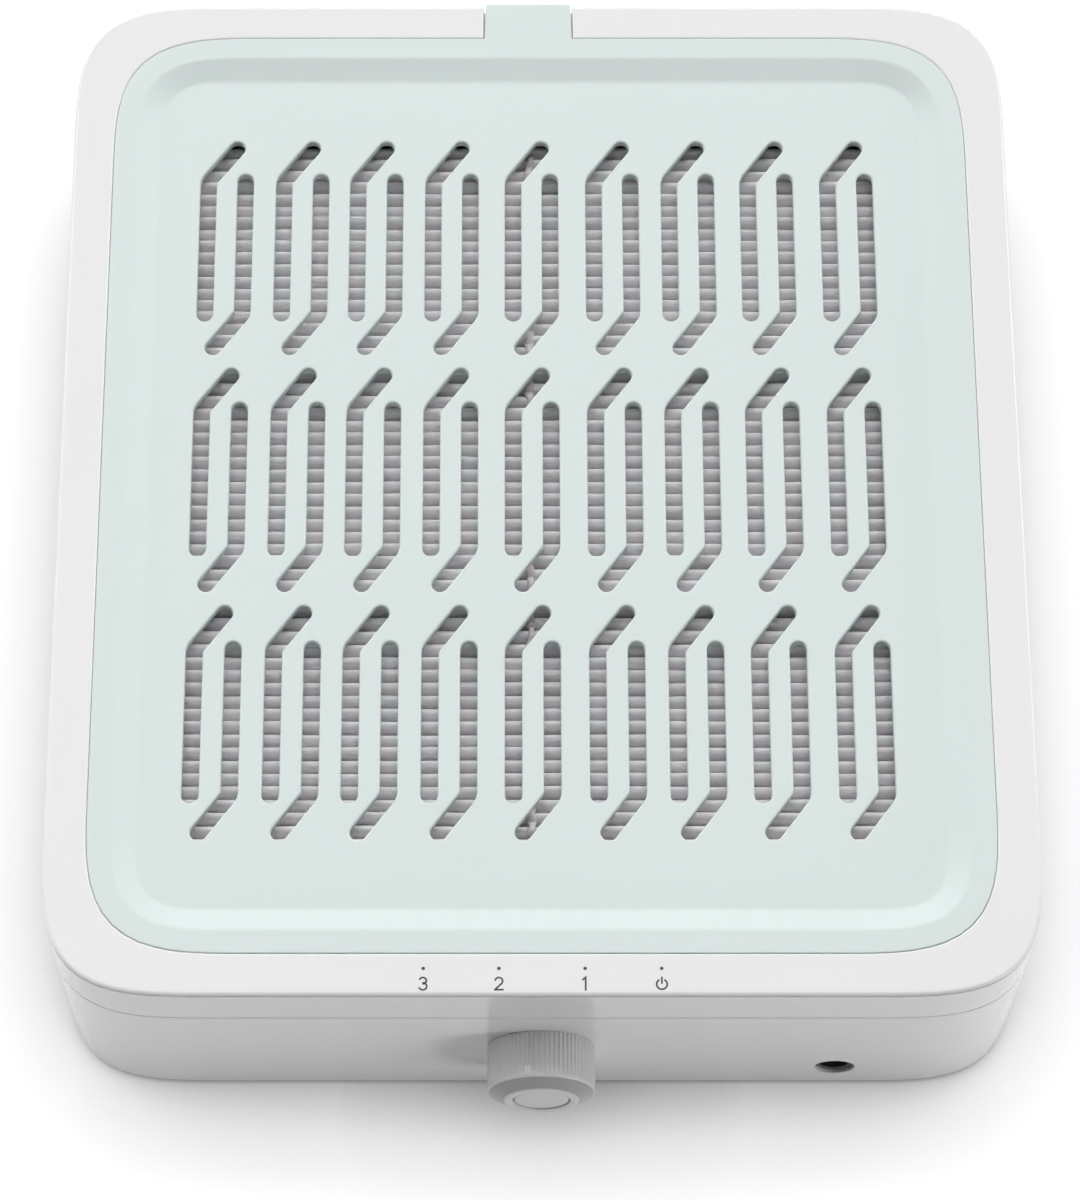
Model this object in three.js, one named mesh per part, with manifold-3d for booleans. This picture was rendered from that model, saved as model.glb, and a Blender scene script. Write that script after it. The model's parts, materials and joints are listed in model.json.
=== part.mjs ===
import * as THREE from "three";
import { mergeVertices } from "three/addons/utils/BufferGeometryUtils.js";
import Module from "manifold-3d";

const wasm = await Module();
wasm.setup();

// A table-top nail dust collector: hands rest on a slotted tray over a pleated filter, and a
// centrifugal fan below draws the dust down. A rotary speed switch and a power socket are in front.
// Lengths are millimetres. X runs to the right, Y to the back and Z up from the table.

// Sides of round pieces, by size
const holeSides = 8;
const postSides = 12;
const discSides = 16;
const wheelSides = 20;
const nutSides = 6;
const roundPower = 2;
const roundSteps = 3;

// Clearances shared by all pieces
const fitGap = 0.3;
const inlayGap = 0.15;
const overrun = 1;

// Housing, in two mouldings that meet at a seam
const housingWidth = 230;
const housingDepth = 261;
const housingHeight = 66;
const footDrop = 2;
const cornerReach = 40;
const cornerPower = 3.6;
const cornerSteps = 5;
const wall = 2.4;
const wallDraft = 0.7;
const bottomBevel = 1.2;
const topRound = 0.9;
const topRoundSteps = 2;
const seamDrop = 16.4;
const tongueHeight = 2;

// Tray that the hands rest on
const coverInset = 10.1;
const coverDepthInset = 9.8;
const coverShift = 0.4;
const coverCornerReach = 38;
const coverThickness = 2.2;
const rimWidth = 5.5;
const slopeRun = 5.7;
const slopeDrop = 2.2;
const coverEdgeBevel = 0.4;
const tabWidth = 21.3;
const tabShift = -2.7;
const tabOverhang = 0.7;
const tabCornerRadius = 1.2;

// Slots of the tray, in rows of cells with two slots each
const slotWidth = 4;
const slotLane = 4.55;
const elbowRun = 6.85;
const elbowRise = 9.2;
const slotRows = 3;
const slotRowGap = 3.6;
const slotEndMargin = 15.2;
const slotCapSteps = 3;
const slotColumnShares = [-0.411, -0.3115, -0.214, -0.115, -0.0105, 0.0953, 0.1946, 0.2983, 0.4035];

// Recess under the tray, and the pocket for the filter
const ledgeWidth = 4.35;
const ledgeThickness = 2.2;
const apronDrop = 9;
const apronSide = 9.6;
const apronEnd = 17.4;
const apronThickness = 2;
const pocketWall = 2;
const pocketDropShare = 0.43333;
const pocketRadius = 5;
const lipWidth = 5;
const lipThickness = 2;

// Filter
const filterClearance = 0.6;
const frameWall = 2.2;
const frameTopGap = 3;
const frameRadius = 4;
const frameRibs = 3;
const frameRibWidth = 3;
const frameRibHeight = 1.2;
const sealThickness = 1.5;
const sealWidth = 4;
const mediaTopSink = 1.6;
const mediaEndGap = 3.1;
const mediaSheet = 0.7;
const pleatPitch = 3.34;
const foldBluntShare = 1.3;
const beadWidth = 2;
const beadThickness = 0.5;
const beadShift = -2.4;

// Deck that carries the filter chamber over the fan, with the guard in its inlet
const deckDropShare = 0.50303;
const deckThickness = 2.5;
const deckRimWall = 2;
const deckRimInset = 1;
const inletRadius = 43;
const inletLipWall = 1.6;
const inletLipDrop = 2.6;
const guardRadius = 48;
const guardSeatDepth = 1.4;
const guardThickness = 1.6;
const guardRimWidth = 4;
const guardRings = 2;
const guardRingWidth = 1.6;
const guardSpokes = 4;
const guardSpokeWidth = 2.4;
const guardHubRadius = 9;

// Fan: spiral housing and impeller
const fanShiftX = -4;
const fanShiftY = 6;
const impellerRadius = 60;
const impellerHubRadius = 23.1;
const impellerWall = 1.6;
const impellerLift = 2.5;
const impellerDrop = 2.4;
const bladeCount = 9;
const bladeSweep = 0.95;
const bladeWall = 1.6;
const bladeSteps = 3;
const bladeCurve = 1.4;
const shroudRise = 2.2;
const tongueGap = 7;
const spiralGrowth = 22;
const tongueAngle = 0.96;
const spiralSteps = 26;
const fanHousingLift = 2;
const fanHousingFloor = 2;
const fanHousingWall = 2;
const outletGap = 1.2;
const fanEarRadius = 5;
const fanEarReachShare = 0.8;
const fanEarAngles = [2.35, 3.6, 5];
const leadAngle = 4.1;

// Outer-rotor motor inside the impeller's hub
const motorFlangeRadius = 16;
const motorFlangeThickness = 1.6;
const bearingTubeRadius = 6;
const bearingRadius = 4.3;
const bearingHeight = 3;
const shaftRadius = 1.5;
const rotorCupWall = 1.4;
const magnetThickness = 1.5;
const magnetHeightShare = 0.53;
const airGap = 0.6;
const statorTeeth = 4;
const statorToothWidth = 4;
const statorYoke = 3;
const coilThickness = 1.3;

// Speed switch and its knob, on the front
const knobDropShare = 0.57727;
const knobRadius = 12.58;
const knobLength = 13.2;
const knobStandoff = 0.5;
const knobFaceRadius = 9.7;
const knobChamfer = 2.7;
const knobRibFade = 1.8;
const knobRibs = 36;
const knobRibDepth = 0.4;
const knobBackBore = 8.4;
const knobBackDepth = 4.6;
const knobFrontWall = 3.2;
const knobCapRadius = 6.4;
const knobCapDepth = 1.5;
const knobCapSink = 0.25;
const knobCapGroove = 0.45;
const pointerWidth = 0.9;
const pointerLength = 2.6;
const pointerDepth = 0.8;
const knobRestAngle = 15;
const switchRadius = 8.5;
const switchDepth = 11;
const bushingRadius = 4.5;
const bushingReach = 3.7;
const switchShaftRadius = 2.9;
const switchFlatShare = 0.55;
const switchShaftTail = 7;
const washerRadius = 7;
const washerThickness = 0.5;
const nutFlats = 11.4;
const nutThickness = 2;
const waferThickness = 1.2;
const waferLugs = 5;
const waferLugPitch = 2.7;
const waferLugLength = 3.5;
const waferLugWidth = 1.6;
const waferLugThickness = 0.6;

// Power socket, on the front
const jackShift = 69.8;
const jackRise = 11.6;
const jackHoleRadius = 4.64;
const jackBoreRadius = 3.2;
const jackPinRadius = 1;
const jackPinSink = 2.7;
const jackBodyWidth = 9.6;
const jackBodyLength = 14;
const jackNoseSink = 0.9;
const jackBackWall = 2;
const jackPinTail = 3;
const jackSpringWidth = 2.4;
const jackSpringThickness = 0.5;

// Circuit board and its parts
const boardWidth = 50;
const boardDepth = 28;
const boardThickness = 1.6;
const boardLift = 3.6;
const boardSideGap = 2;
const boardFrontInset = 13.5;
const boardPostRadius = 3;
const boardPostInset = 4;
const capacitorRadius = 4;
const capacitorHeight = 12;
const capacitorBevel = 0.8;
const capacitorShares = [-0.18, -0.26];
const coilRadius = 5;
const coilBoreRadius = 2.5;
const coilHeight = 7;
const coilShares = [0.1, -0.24];
const regulatorWidth = 10;
const regulatorHeight = 9;
const regulatorThickness = 4.5;
const regulatorTabHeight = 13.5;
const regulatorTabThickness = 1.2;
const regulatorShares = [-0.2, 0.28];
const connectorWidth = 18;
const connectorDepth = 6;
const connectorHeight = 6;
const connectorFloor = 2;
const connectorWall = 1;
const connectorShares = [0.22, 0.2];
const plugSpread = 4.5;
const leadRadius = 0.9;
const leadSides = 5;
const leadSteps = 18;
const leadClearance = 5;
const leadHump = 3.5;

// Exhaust slots in the back wall
const exhaustSlotWidth = 4.6;
const exhaustSlotPitch = 8;
const exhaustMargin = 2;
const exhaustBottomInset = 3;
const exhaustTopInset = 2;

// Fasteners and feet
const caseScrewSideInset = 15;
const caseScrewEndInset = 15.5;
const columnRadius = 5.2;
const columnShoulder = 6;
const columnHeight = 29.6;
const bossRadius = 4.2;
const caseScrewRadius = 1.5;
const caseScrewHeadRadius = 2.9;
const caseScrewHeadHeight = 2;
const caseScrewLength = 18;
const smallScrewRadius = 1.2;
const smallScrewHeadRadius = 2.4;
const smallScrewHeadHeight = 1.6;
const deckScrewSideInset = 16.5;
const deckScrewSpread = 62;
const deckScrewLength = 9;
const deckBossRadius = 3.6;
const fanScrewLength = 5.6;
const boardScrewLength = 4.4;
const footRadius = 9;
const footSideInset = 27;
const footEndInset = 30;
const footRecess = 1;
const footBevel = 0.5;

// Heights above the table
const housingBottom = footDrop;
const housingTop = housingBottom + housingHeight;
const floorTop = housingBottom + wall;
const seamZ = housingTop - seamDrop;
const ledgeZ = housingTop - coverThickness - fitGap;
const ledgeUnder = ledgeZ - ledgeThickness;
const apronZ = housingTop - apronDrop;
const lipZ = housingTop - pocketDropShare * housingHeight;
const lipUnder = lipZ - lipThickness;
const deckTop = housingTop - deckDropShare * housingHeight;
const deckUnder = deckTop - deckThickness;
const fanBaseZ = floorTop + fanHousingLift + fitGap;
const fanFloorZ = fanBaseZ + fanHousingFloor;
const impellerZ = fanFloorZ + impellerLift;
const shroudTop = deckUnder - impellerDrop;
const knobZ = housingTop - knobDropShare * housingHeight;
const jackZ = housingBottom + jackRise;

// Plan sizes worked out from the driving sizes
const coverWidth = housingWidth - 2 * coverInset;
const coverDepth = housingDepth - 2 * coverDepthInset;
const trayInset = rimWidth + slopeRun;
const trayWidth = coverWidth - 2 * trayInset;
const trayDepth = coverDepth - 2 * trayInset;
const wellWidth = coverWidth + 2 * fitGap - 2 * ledgeWidth;
const wellDepth = coverDepth + 2 * fitGap - 2 * ledgeWidth;
const wellReach = coverCornerReach - ledgeWidth;
const pocketWidth = wellWidth - 2 * apronSide;
const pocketDepth = wellDepth - 2 * apronEnd;
const filterWidth = pocketWidth - 2 * filterClearance;
const filterDepth = pocketDepth - 2 * filterClearance;
const mediaWidth = filterWidth - 2 * frameWall - 2 * fitGap;
const mediaDepth = filterDepth - 2 * frameWall - 2 * mediaEndGap;
const sealBottom = lipZ + fitGap;
const frameBottom = sealBottom + sealThickness + fitGap;
const mediaBottom = frameBottom + frameRibHeight + fitGap;
const trayUnder = housingTop - slopeDrop - coverThickness;
const frameTop = trayUnder - frameTopGap;
const mediaHeight = frameTop - mediaTopSink - mediaBottom;
const spiralStart = impellerRadius + tongueGap;
const spiralEnd = spiralStart + spiralGrowth;
const outletLeft = spiralStart * Math.cos(tongueAngle);
const backFace = housingDepth / 2 - wall - wallDraft;
const caseScrewX = housingWidth / 2 - caseScrewSideInset;
const caseScrewY = housingDepth / 2 - caseScrewEndInset;
const deckScrewX = housingWidth / 2 - deckScrewSideInset;
const footX = housingWidth / 2 - footSideInset;
const footY = housingDepth / 2 - footEndInset;
const columnTop = floorTop + columnHeight;
const jackUnder = jackZ - jackBodyWidth / 2;
const boardX = -caseScrewX + columnRadius + boardSideGap + boardWidth / 2;
const boardY = -(housingDepth / 2 - boardFrontInset) + boardDepth / 2;
const boardZ = floorTop + boardLift + fitGap;
const boardTop = boardZ + boardThickness;

const full = 2 * Math.PI;
const quarter = Math.PI / 2;

// Colours, with roughness and metalness
const finish = (color, roughness, metalness = 0) =>
  () => new THREE.MeshStandardMaterial({ color, roughness, metalness });
const whiteShell = finish(0xeeefee, 0.28);
const mintTray = finish(0xd9e7e4, 0.42);
const knobGrey = finish(0xc9c9c8, 0.4);
const filterGrey = finish(0xb4b2b3, 0.95);
const frameGrey = finish(0x8d9092, 0.6);
const foamBlack = finish(0x2a2a2c, 0.95);
const innerPlastic = finish(0x3a3d40, 0.5);
const impellerPlastic = finish(0x1f2123, 0.4);
const steel = finish(0xb9bcbf, 0.32, 1);
const brassMetal = finish(0xc8a24a, 0.3, 1);
const copper = finish(0xb8673a, 0.35, 1);
const ferrite = finish(0x47484b, 0.6);
const boardGreen = finish(0x2f6b48, 0.5);
const phenolic = finish(0x8a5a30, 0.6);
const blackPlastic = finish(0x18191b, 0.45);
const leadJacket = finish(0x202225, 0.5);
const footRubber = finish(0x4b4d50, 0.9);

// Turns a closed three.js geometry into a solid that can be joined and cut.
function solidOf(geometry) {
  const bare = geometry.clone();
  bare.deleteAttribute("normal");
  bare.deleteAttribute("uv");
  const merged = mergeVertices(bare);
  const triVerts = new Uint32Array(merged.index.array);
  const vertProperties = new Float32Array(merged.attributes.position.array);
  const made = new wasm.Manifold(new wasm.Mesh({ numProp: 3, vertProperties, triVerts }));
  if (made.volume() > 0) return made;
  for (let i = 0; i < triVerts.length; i += 3) {
    const first = triVerts[i + 1];
    triVerts[i + 1] = triVerts[i + 2];
    triVerts[i + 2] = first;
  }
  return new wasm.Manifold(new wasm.Mesh({ numProp: 3, vertProperties, triVerts }));
}

const asSolid = (body) => (body.isBufferGeometry ? solidOf(body) : body);

function join(...bodies) {
  return bodies.map(asSolid).reduce((sum, body) => sum.add(body));
}

function cut(body, ...tools) {
  return tools.map(asSolid).reduce((rest, tool) => rest.subtract(tool), asSolid(body));
}

const overlap = (body, limit) => asSolid(body).intersect(asSolid(limit));

function geometryOf(body) {
  const mesh = asSolid(body).getMesh();
  const geometry = new THREE.BufferGeometry();
  geometry.setAttribute("position", new THREE.BufferAttribute(mesh.vertProperties, 3));
  geometry.setIndex(new THREE.BufferAttribute(mesh.triVerts, 1));
  return geometry;
}

// A named mesh of one solid, ready for the scene graph.
function piece(name, body, material) {
  const geometry = geometryOf(body);
  geometry.computeVertexNormals();
  const made = new THREE.Mesh(geometry, material());
  made.name = name;
  return made;
}

// Closed outline of a rectangle with rounded corners. Power 2 gives round corners, more squarer ones.
function softOutline(width, depth, reach, power = cornerPower, steps = cornerSteps) {
  const quadrants = [[1, 1], [-1, 1], [-1, -1], [1, -1]];
  return quadrants.flatMap(([sideX, sideY]) =>
    Array.from({ length: steps + 1 }, (_, i) => {
      const along = (i / steps) * quarter;
      const turn = sideX * sideY > 0 ? along : quarter - along;
      const x = width / 2 - reach + reach * Math.abs(Math.cos(turn)) ** (2 / power);
      const y = depth / 2 - reach + reach * Math.abs(Math.sin(turn)) ** (2 / power);
      return new THREE.Vector2(sideX * x, sideY * y);
    }),
  );
}

const roundOutline = (width, depth, radius) =>
  softOutline(width, depth, radius, roundPower, roundSteps);

// Outline of the housing and of the tray, drawn in by an inset.
const housingOutline = (inset) =>
  softOutline(housingWidth - 2 * inset, housingDepth - 2 * inset, cornerReach - inset);
const coverOutline = (inset) =>
  softOutline(coverWidth - 2 * inset, coverDepth - 2 * inset, coverCornerReach - inset);

// Solid through outlines of equal point counts, each at its own height.
function loft(sections) {
  const count = sections[0].outline.length;
  const position = sections.flatMap(({ outline, z }) => outline.flatMap((p) => [p.x, p.y, z]));
  const index = [];
  for (let s = 0; s + 1 < sections.length; s++) {
    for (let i = 0; i < count; i++) {
      const a = s * count + i;
      const b = s * count + ((i + 1) % count);
      index.push(a, b, b + count, a, b + count, a + count);
    }
  }
  const top = (sections.length - 1) * count;
  for (const [a, b, c] of THREE.ShapeUtils.triangulateShape(sections[0].outline, [])) {
    index.push(a, c, b);
  }
  for (const [a, b, c] of THREE.ShapeUtils.triangulateShape(sections.at(-1).outline, [])) {
    index.push(top + a, top + b, top + c);
  }
  const geometry = new THREE.BufferGeometry();
  geometry.setAttribute("position", new THREE.Float32BufferAttribute(position, 3));
  geometry.setIndex(index);
  return geometry;
}

// Extrusions of outlines along Z, along X (outline in Y and Z) and along Y (outline in X and Z).
function prism(outlines, low, high) {
  const many = Array.isArray(outlines[0]) ? outlines : [outlines];
  const shapes = many.map((outline) => new THREE.Shape(outline));
  const settings = { depth: high - low, bevelEnabled: false };
  return new THREE.ExtrudeGeometry(shapes, settings).translate(0, 0, low);
}

const axisX = new THREE.Vector3(1, 0, 0);
const axisY = new THREE.Vector3(0, 1, 0);
const axisZ = new THREE.Vector3(0, 0, 1);
const ontoX = new THREE.Matrix4().makeBasis(axisY, axisZ, axisX);
const ontoY = new THREE.Matrix4().makeBasis(axisX, axisZ, axisY.clone().negate());
const prismX = (outlines, low, high) => prism(outlines, low, high).applyMatrix4(ontoX);
const prismY = (outlines, low, high) => prism(outlines, -high, -low).applyMatrix4(ontoY);

function block(lowX, highX, lowY, highY, lowZ, highZ) {
  const box = new THREE.BoxGeometry(highX - lowX, highY - lowY, highZ - lowZ);
  return box.translate((lowX + highX) / 2, (lowY + highY) / 2, (lowZ + highZ) / 2);
}

function rod(radius, low, high, x = 0, y = 0, sides = postSides) {
  const post = new THREE.CylinderGeometry(radius, radius, high - low, sides).rotateX(quarter);
  return post.translate(x, y, (low + high) / 2);
}

// Solid of revolution about Z from points of radius and height.
function turned(profile, sides = discSides) {
  const points = profile.map(([r, z]) => new THREE.Vector2(r, z));
  return new THREE.LatheGeometry(points, sides).rotateX(quarter);
}

// Ring with a square section about Z.
const ring = (inner, outer, low, high, sides = discSides) =>
  turned([[inner, low], [outer, low], [outer, high], [inner, high], [inner, low]], sides);

// Band of even width along a bent line, with round ends.
function ribbon(path, width, capSteps = slotCapSteps) {
  const side = (from, to) => {
    const way = to.clone().sub(from).normalize();
    return new THREE.Vector2(-way.y, way.x);
  };
  const half = width / 2;
  const last = path.length - 1;
  const edge = (sign) =>
    path.slice(1, last).map((corner, i) => {
      const before = side(path[i], corner);
      const after = side(corner, path[i + 2]);
      const mitre = before.clone().add(after).normalize();
      return corner.clone().addScaledVector(mitre, (sign * half) / mitre.dot(before));
    });
  const cap = (centre, outward) =>
    Array.from({ length: capSteps + 1 }, (_, i) => {
      const turn = outward - quarter + (i / capSteps) * Math.PI;
      return new THREE.Vector2(centre.x + half * Math.cos(turn), centre.y + half * Math.sin(turn));
    });
  const endWay = path[last].clone().sub(path[last - 1]).angle();
  const startWay = path[0].clone().sub(path[1]).angle();
  return [...edge(-1), ...cap(path[last], endWay), ...edge(1).reverse(), ...cap(path[0], startWay)];
}

// Tube along a smooth curve through points.
function lead(points) {
  const stops = points.map((p) => new THREE.Vector3(...p));
  const route = new THREE.CatmullRomCurve3(stops, false, "centripetal");
  const section = Array.from({ length: leadSides }, (_, i) => {
    const turn = (i / leadSides) * full;
    return new THREE.Vector2(leadRadius * Math.cos(turn), leadRadius * Math.sin(turn));
  });
  const settings = { steps: leadSteps, bevelEnabled: false, extrudePath: route };
  return new THREE.ExtrudeGeometry(new THREE.Shape(section), settings);
}

const corners = [[-1, -1], [1, -1], [-1, 1], [1, 1]];

// Draft of the outer walls: how far they lie inside the seam outline at a height.
const draftAt = (z) => (z < seamZ ? (wallDraft * (seamZ - z)) / (seamZ - housingBottom) : 0);

// Places a body built along +Z on the front wall, so that +Z points out towards the user.
const onFront = (body, x, z) =>
  geometryOf(body).rotateX(quarter).translate(x, -(housingDepth / 2 - draftAt(z)), z);

const onJackAxis = (body) => onFront(body, jackShift, jackZ);
const onKnobAxis = (body) => onFront(body, 0, knobZ);

// As above, turned with the knob to where it stands at rest.
const turnedWithKnob = (body) =>
  onKnobAxis(geometryOf(body).rotateZ(THREE.MathUtils.degToRad(knobRestAngle)));

// Moves a body from the origin to the tray's centre and to the fan's axis.
const atTray = (body) => asSolid(body).translate([0, coverShift, 0]);
const atFan = (body) => asSolid(body).translate([fanShiftX, fanShiftY, 0]);

// Upper moulding: skirt, top rim, recess for the tray, pocket for the filter and hanging bosses.
function upperShell() {
  const roundSections = Array.from({ length: topRoundSteps + 1 }, (_, i) => {
    const turn = (i / topRoundSteps) * quarter;
    return {
      outline: housingOutline(topRound * (1 - Math.cos(turn))),
      z: housingTop - topRound * (1 - Math.sin(turn)),
    };
  });
  const outside = loft([{ outline: housingOutline(0), z: seamZ + fitGap }, ...roundSections]);
  const hollow = prism(housingOutline(wall), seamZ - overrun, housingTop - wall);
  const rebateTop = seamZ + tongueHeight + fitGap;
  const rebate = prism(housingOutline(wall / 2 - fitGap / 2), seamZ - overrun, rebateTop);
  const lid = cut(outside, hollow, rebate);

  const wellOutline = (grow) =>
    softOutline(wellWidth + 2 * grow, wellDepth + 2 * grow, wellReach + grow);
  const pocketOutline = (grow) =>
    roundOutline(pocketWidth + 2 * grow, pocketDepth + 2 * grow, pocketRadius + grow);
  const body = join(
    lid,
    atTray(prism(coverOutline(-fitGap - wall), ledgeUnder, housingTop - topRound)),
    atTray(prism(wellOutline(pocketWall), apronZ - apronThickness, ledgeUnder + overrun)),
    atTray(prism(pocketOutline(pocketWall), lipUnder, apronZ)),
    tabShelf(),
    ...corners.map(([sx, sy]) =>
      rod(bossRadius, columnTop + fitGap, ledgeZ - ledgeThickness / 2, sx * caseScrewX,
        sy * caseScrewY),
    ),
    ...corners.map(([sx, sy]) =>
      rod(deckBossRadius, deckTop + fitGap, apronZ - apronThickness / 2, sx * deckScrewX,
        coverShift + sy * deckScrewSpread),
    ),
  );
  const pilotDepth = caseScrewLength - columnShoulder + overrun;
  return cut(
    body,
    atTray(prism(coverOutline(-fitGap), ledgeZ, housingTop + overrun)),
    atTray(prism(wellOutline(0), apronZ, ledgeZ + overrun)),
    atTray(prism(pocketOutline(0), lipZ, apronZ + overrun)),
    atTray(prism(pocketOutline(-lipWidth), lipUnder - overrun, lipZ + overrun)),
    tabNotch(),
    ...corners.map(([sx, sy]) =>
      rod(caseScrewRadius + fitGap, columnTop - overrun, columnTop + pilotDepth, sx * caseScrewX,
        sy * caseScrewY, holeSides),
    ),
    ...corners.map(([sx, sy]) =>
      rod(smallScrewRadius + fitGap, deckTop - overrun, deckTop + deckScrewLength, sx * deckScrewX,
        coverShift + sy * deckScrewSpread, holeSides),
    ),
  );
}

// Floor under the lift tab, and the notch that lets the tab reach the back edge.
function tabShelf() {
  const half = tabWidth / 2 + fitGap + wall;
  const front = coverShift + coverDepth / 2;
  return block(tabShift - half, tabShift + half, front, housingDepth / 2 - wall / 2, ledgeUnder,
    housingTop - topRound);
}

function tabNotch() {
  const half = tabWidth / 2 + fitGap;
  const front = coverShift + coverDepth / 2 - coverCornerReach / 2;
  return block(tabShift - half, tabShift + half, front, housingDepth / 2 + overrun, ledgeZ,
    housingTop + overrun);
}

// Lower moulding: tub with screw columns, fan bosses, board posts and openings in its walls.
function lowerShell() {
  const outside = loft([
    { outline: housingOutline(draftAt(housingBottom) + bottomBevel), z: housingBottom },
    { outline: housingOutline(draftAt(housingBottom + bottomBevel)), z: housingBottom + bottomBevel },
    { outline: housingOutline(0), z: seamZ },
  ]);
  const hollow = loft([
    { outline: housingOutline(draftAt(floorTop) + wall), z: floorTop },
    { outline: housingOutline(wall), z: seamZ },
    { outline: housingOutline(wall), z: seamZ + tongueHeight + overrun },
  ]);
  const tongue = cut(
    prism(housingOutline(wall / 2 + fitGap / 2), seamZ - tongueHeight, seamZ + tongueHeight),
    prism(housingOutline(wall), seamZ - tongueHeight - overrun, seamZ + tongueHeight + overrun),
  );
  const tub = join(
    cut(outside, hollow),
    tongue,
    ...corners.map(([sx, sy]) =>
      rod(columnRadius, housingBottom + wall / 2, columnTop, sx * caseScrewX, sy * caseScrewY),
    ),
    ...fanEars().map(([x, y]) => rod(fanEarRadius, floorTop - wall / 2, fanBaseZ - fitGap, x, y)),
    ...boardPosts().map(([x, y]) => rod(boardPostRadius, floorTop - wall / 2, boardZ - fitGap, x, y)),
    jackCradle(),
  );
  const frontHoles = [
    onKnobAxis(rod(bushingRadius + fitGap, -wall - overrun, overrun, 0, 0, discSides)),
    onJackAxis(rod(jackHoleRadius, -wall - overrun, overrun, 0, 0, discSides)),
  ];
  const counterbore = caseScrewHeadRadius + fitGap;
  return cut(
    tub,
    ...frontHoles,
    exhaustSlots(),
    ...corners.map(([sx, sy]) =>
      rod(counterbore, housingBottom - overrun, columnTop - columnShoulder, sx * caseScrewX,
        sy * caseScrewY, holeSides),
    ),
    ...corners.map(([sx, sy]) =>
      rod(caseScrewRadius + fitGap, housingBottom, columnTop + overrun, sx * caseScrewX, sy * caseScrewY,
        holeSides),
    ),
    ...corners.map(([sx, sy]) =>
      rod(footRadius + fitGap, housingBottom - overrun, housingBottom + footRecess, sx * footX,
        sy * footY),
    ),
    ...fanEars().map(([x, y]) =>
      rod(smallScrewRadius + fitGap, floorTop - wall / 2, fanBaseZ, x, y, holeSides)),
    ...boardPosts().map(([x, y]) =>
      rod(smallScrewRadius + fitGap, floorTop, boardZ, x, y, holeSides)),
  );
}

// Rib that carries the power socket from the floor.
function jackCradle() {
  const half = jackBodyWidth / 2;
  const wallInside = -(housingDepth / 2 - wall);
  return block(jackShift - half, jackShift + half, wallInside, wallInside + jackBodyLength,
    floorTop - wall / 2, jackUnder - fitGap);
}

// Upright slots in the back wall, over the mouth of the fan's outlet.
function exhaustSlots() {
  const left = fanShiftX + outletLeft + exhaustMargin + exhaustSlotWidth / 2;
  const right = fanShiftX + spiralEnd - exhaustMargin - exhaustSlotWidth / 2;
  const count = Math.floor((right - left) / exhaustSlotPitch) + 1;
  const low = fanFloorZ + exhaustBottomInset + exhaustSlotWidth / 2;
  const high = deckUnder - exhaustTopInset - exhaustSlotWidth / 2;
  const first = (left + right) / 2 - ((count - 1) * exhaustSlotPitch) / 2;
  const slots = Array.from({ length: count }, (_, i) => {
    const x = first + i * exhaustSlotPitch;
    return ribbon([new THREE.Vector2(x, low), new THREE.Vector2(x, high)], exhaustSlotWidth);
  });
  return prismY(slots, housingDepth / 2 - 2 * wall, housingDepth / 2 + overrun);
}

// Tray: flat rim, sloping border, slotted floor and a lift tab at the back.
function grilleCover() {
  const rimTop = housingTop;
  const rimUnder = housingTop - coverThickness;
  const trayTop = housingTop - slopeDrop;
  const slab = loft([
    { outline: coverOutline(0), z: rimUnder },
    { outline: coverOutline(0), z: rimTop - coverEdgeBevel },
    { outline: coverOutline(coverEdgeBevel), z: rimTop },
  ]);
  const dish = loft([
    { outline: coverOutline(trayInset), z: trayUnder },
    { outline: coverOutline(rimWidth), z: rimUnder + coverThickness / 2 },
  ]);
  const hollow = loft([
    { outline: coverOutline(trayInset), z: trayTop },
    { outline: coverOutline(rimWidth), z: rimTop },
    { outline: coverOutline(rimWidth), z: rimTop + overrun },
  ]);
  const slots = prism(slotOutlines(), trayUnder - overrun, trayTop + overrun);
  const tray = cut(join(slab, dish), hollow, slots);
  return atTray(join(tray, liftTab(rimUnder, rimTop)));
}

// Tab that runs from the rim over the back edge of the housing.
function liftTab(low, high) {
  const back = housingDepth / 2 + tabOverhang - coverShift;
  const front = coverDepth / 2 - rimWidth / 2;
  const middle = (front + back) / 2;
  const outline = roundOutline(tabWidth, back - front, tabCornerRadius);
  return prism(outline, low, high).translate(tabShift, middle, 0);
}

// Outlines of all slots: a cell has one slot and its twin turned half round.
function slotOutlines() {
  const rowPitch = (trayDepth - 2 * slotEndMargin) / slotRows;
  const halfCell = (rowPitch - slotRowGap) / 2;
  const tip = halfCell - slotWidth / 2;
  const bend = tip - elbowRise;
  const line = [[-slotLane, -bend], [-slotLane, bend], [elbowRun - slotLane, tip]];
  const outlines = [];
  for (let row = 0; row < slotRows; row++) {
    const y = (row - (slotRows - 1) / 2) * rowPitch;
    for (const share of slotColumnShares) {
      for (const turn of [1, -1]) {
        const x = share * trayWidth;
        const path = line.map(([u, v]) => new THREE.Vector2(x + turn * u, y + turn * v));
        outlines.push(ribbon(path, slotWidth));
      }
    }
  }
  return outlines;
}

// Filter: frame with cross ribs, foam seal, folded sheet and the glue bead over its crests.
function filterFrame() {
  const outside = roundOutline(filterWidth, filterDepth, frameRadius);
  const inside = roundOutline(filterWidth - 2 * frameWall, filterDepth - 2 * frameWall,
    frameRadius - frameWall / 2);
  const walls = cut(
    prism(outside, frameBottom, frameTop),
    prism(inside, frameBottom - overrun, frameTop + overrun),
  );
  const pitch = filterWidth / (frameRibs + 1);
  const reach = filterDepth / 2 - frameWall / 2;
  const ribs = Array.from({ length: frameRibs }, (_, i) => {
    const x = (i - (frameRibs - 1) / 2) * pitch;
    return block(x - frameRibWidth / 2, x + frameRibWidth / 2, -reach, reach, frameBottom,
      frameBottom + frameRibHeight);
  });
  return atTray(join(walls, ...ribs));
}

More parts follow.
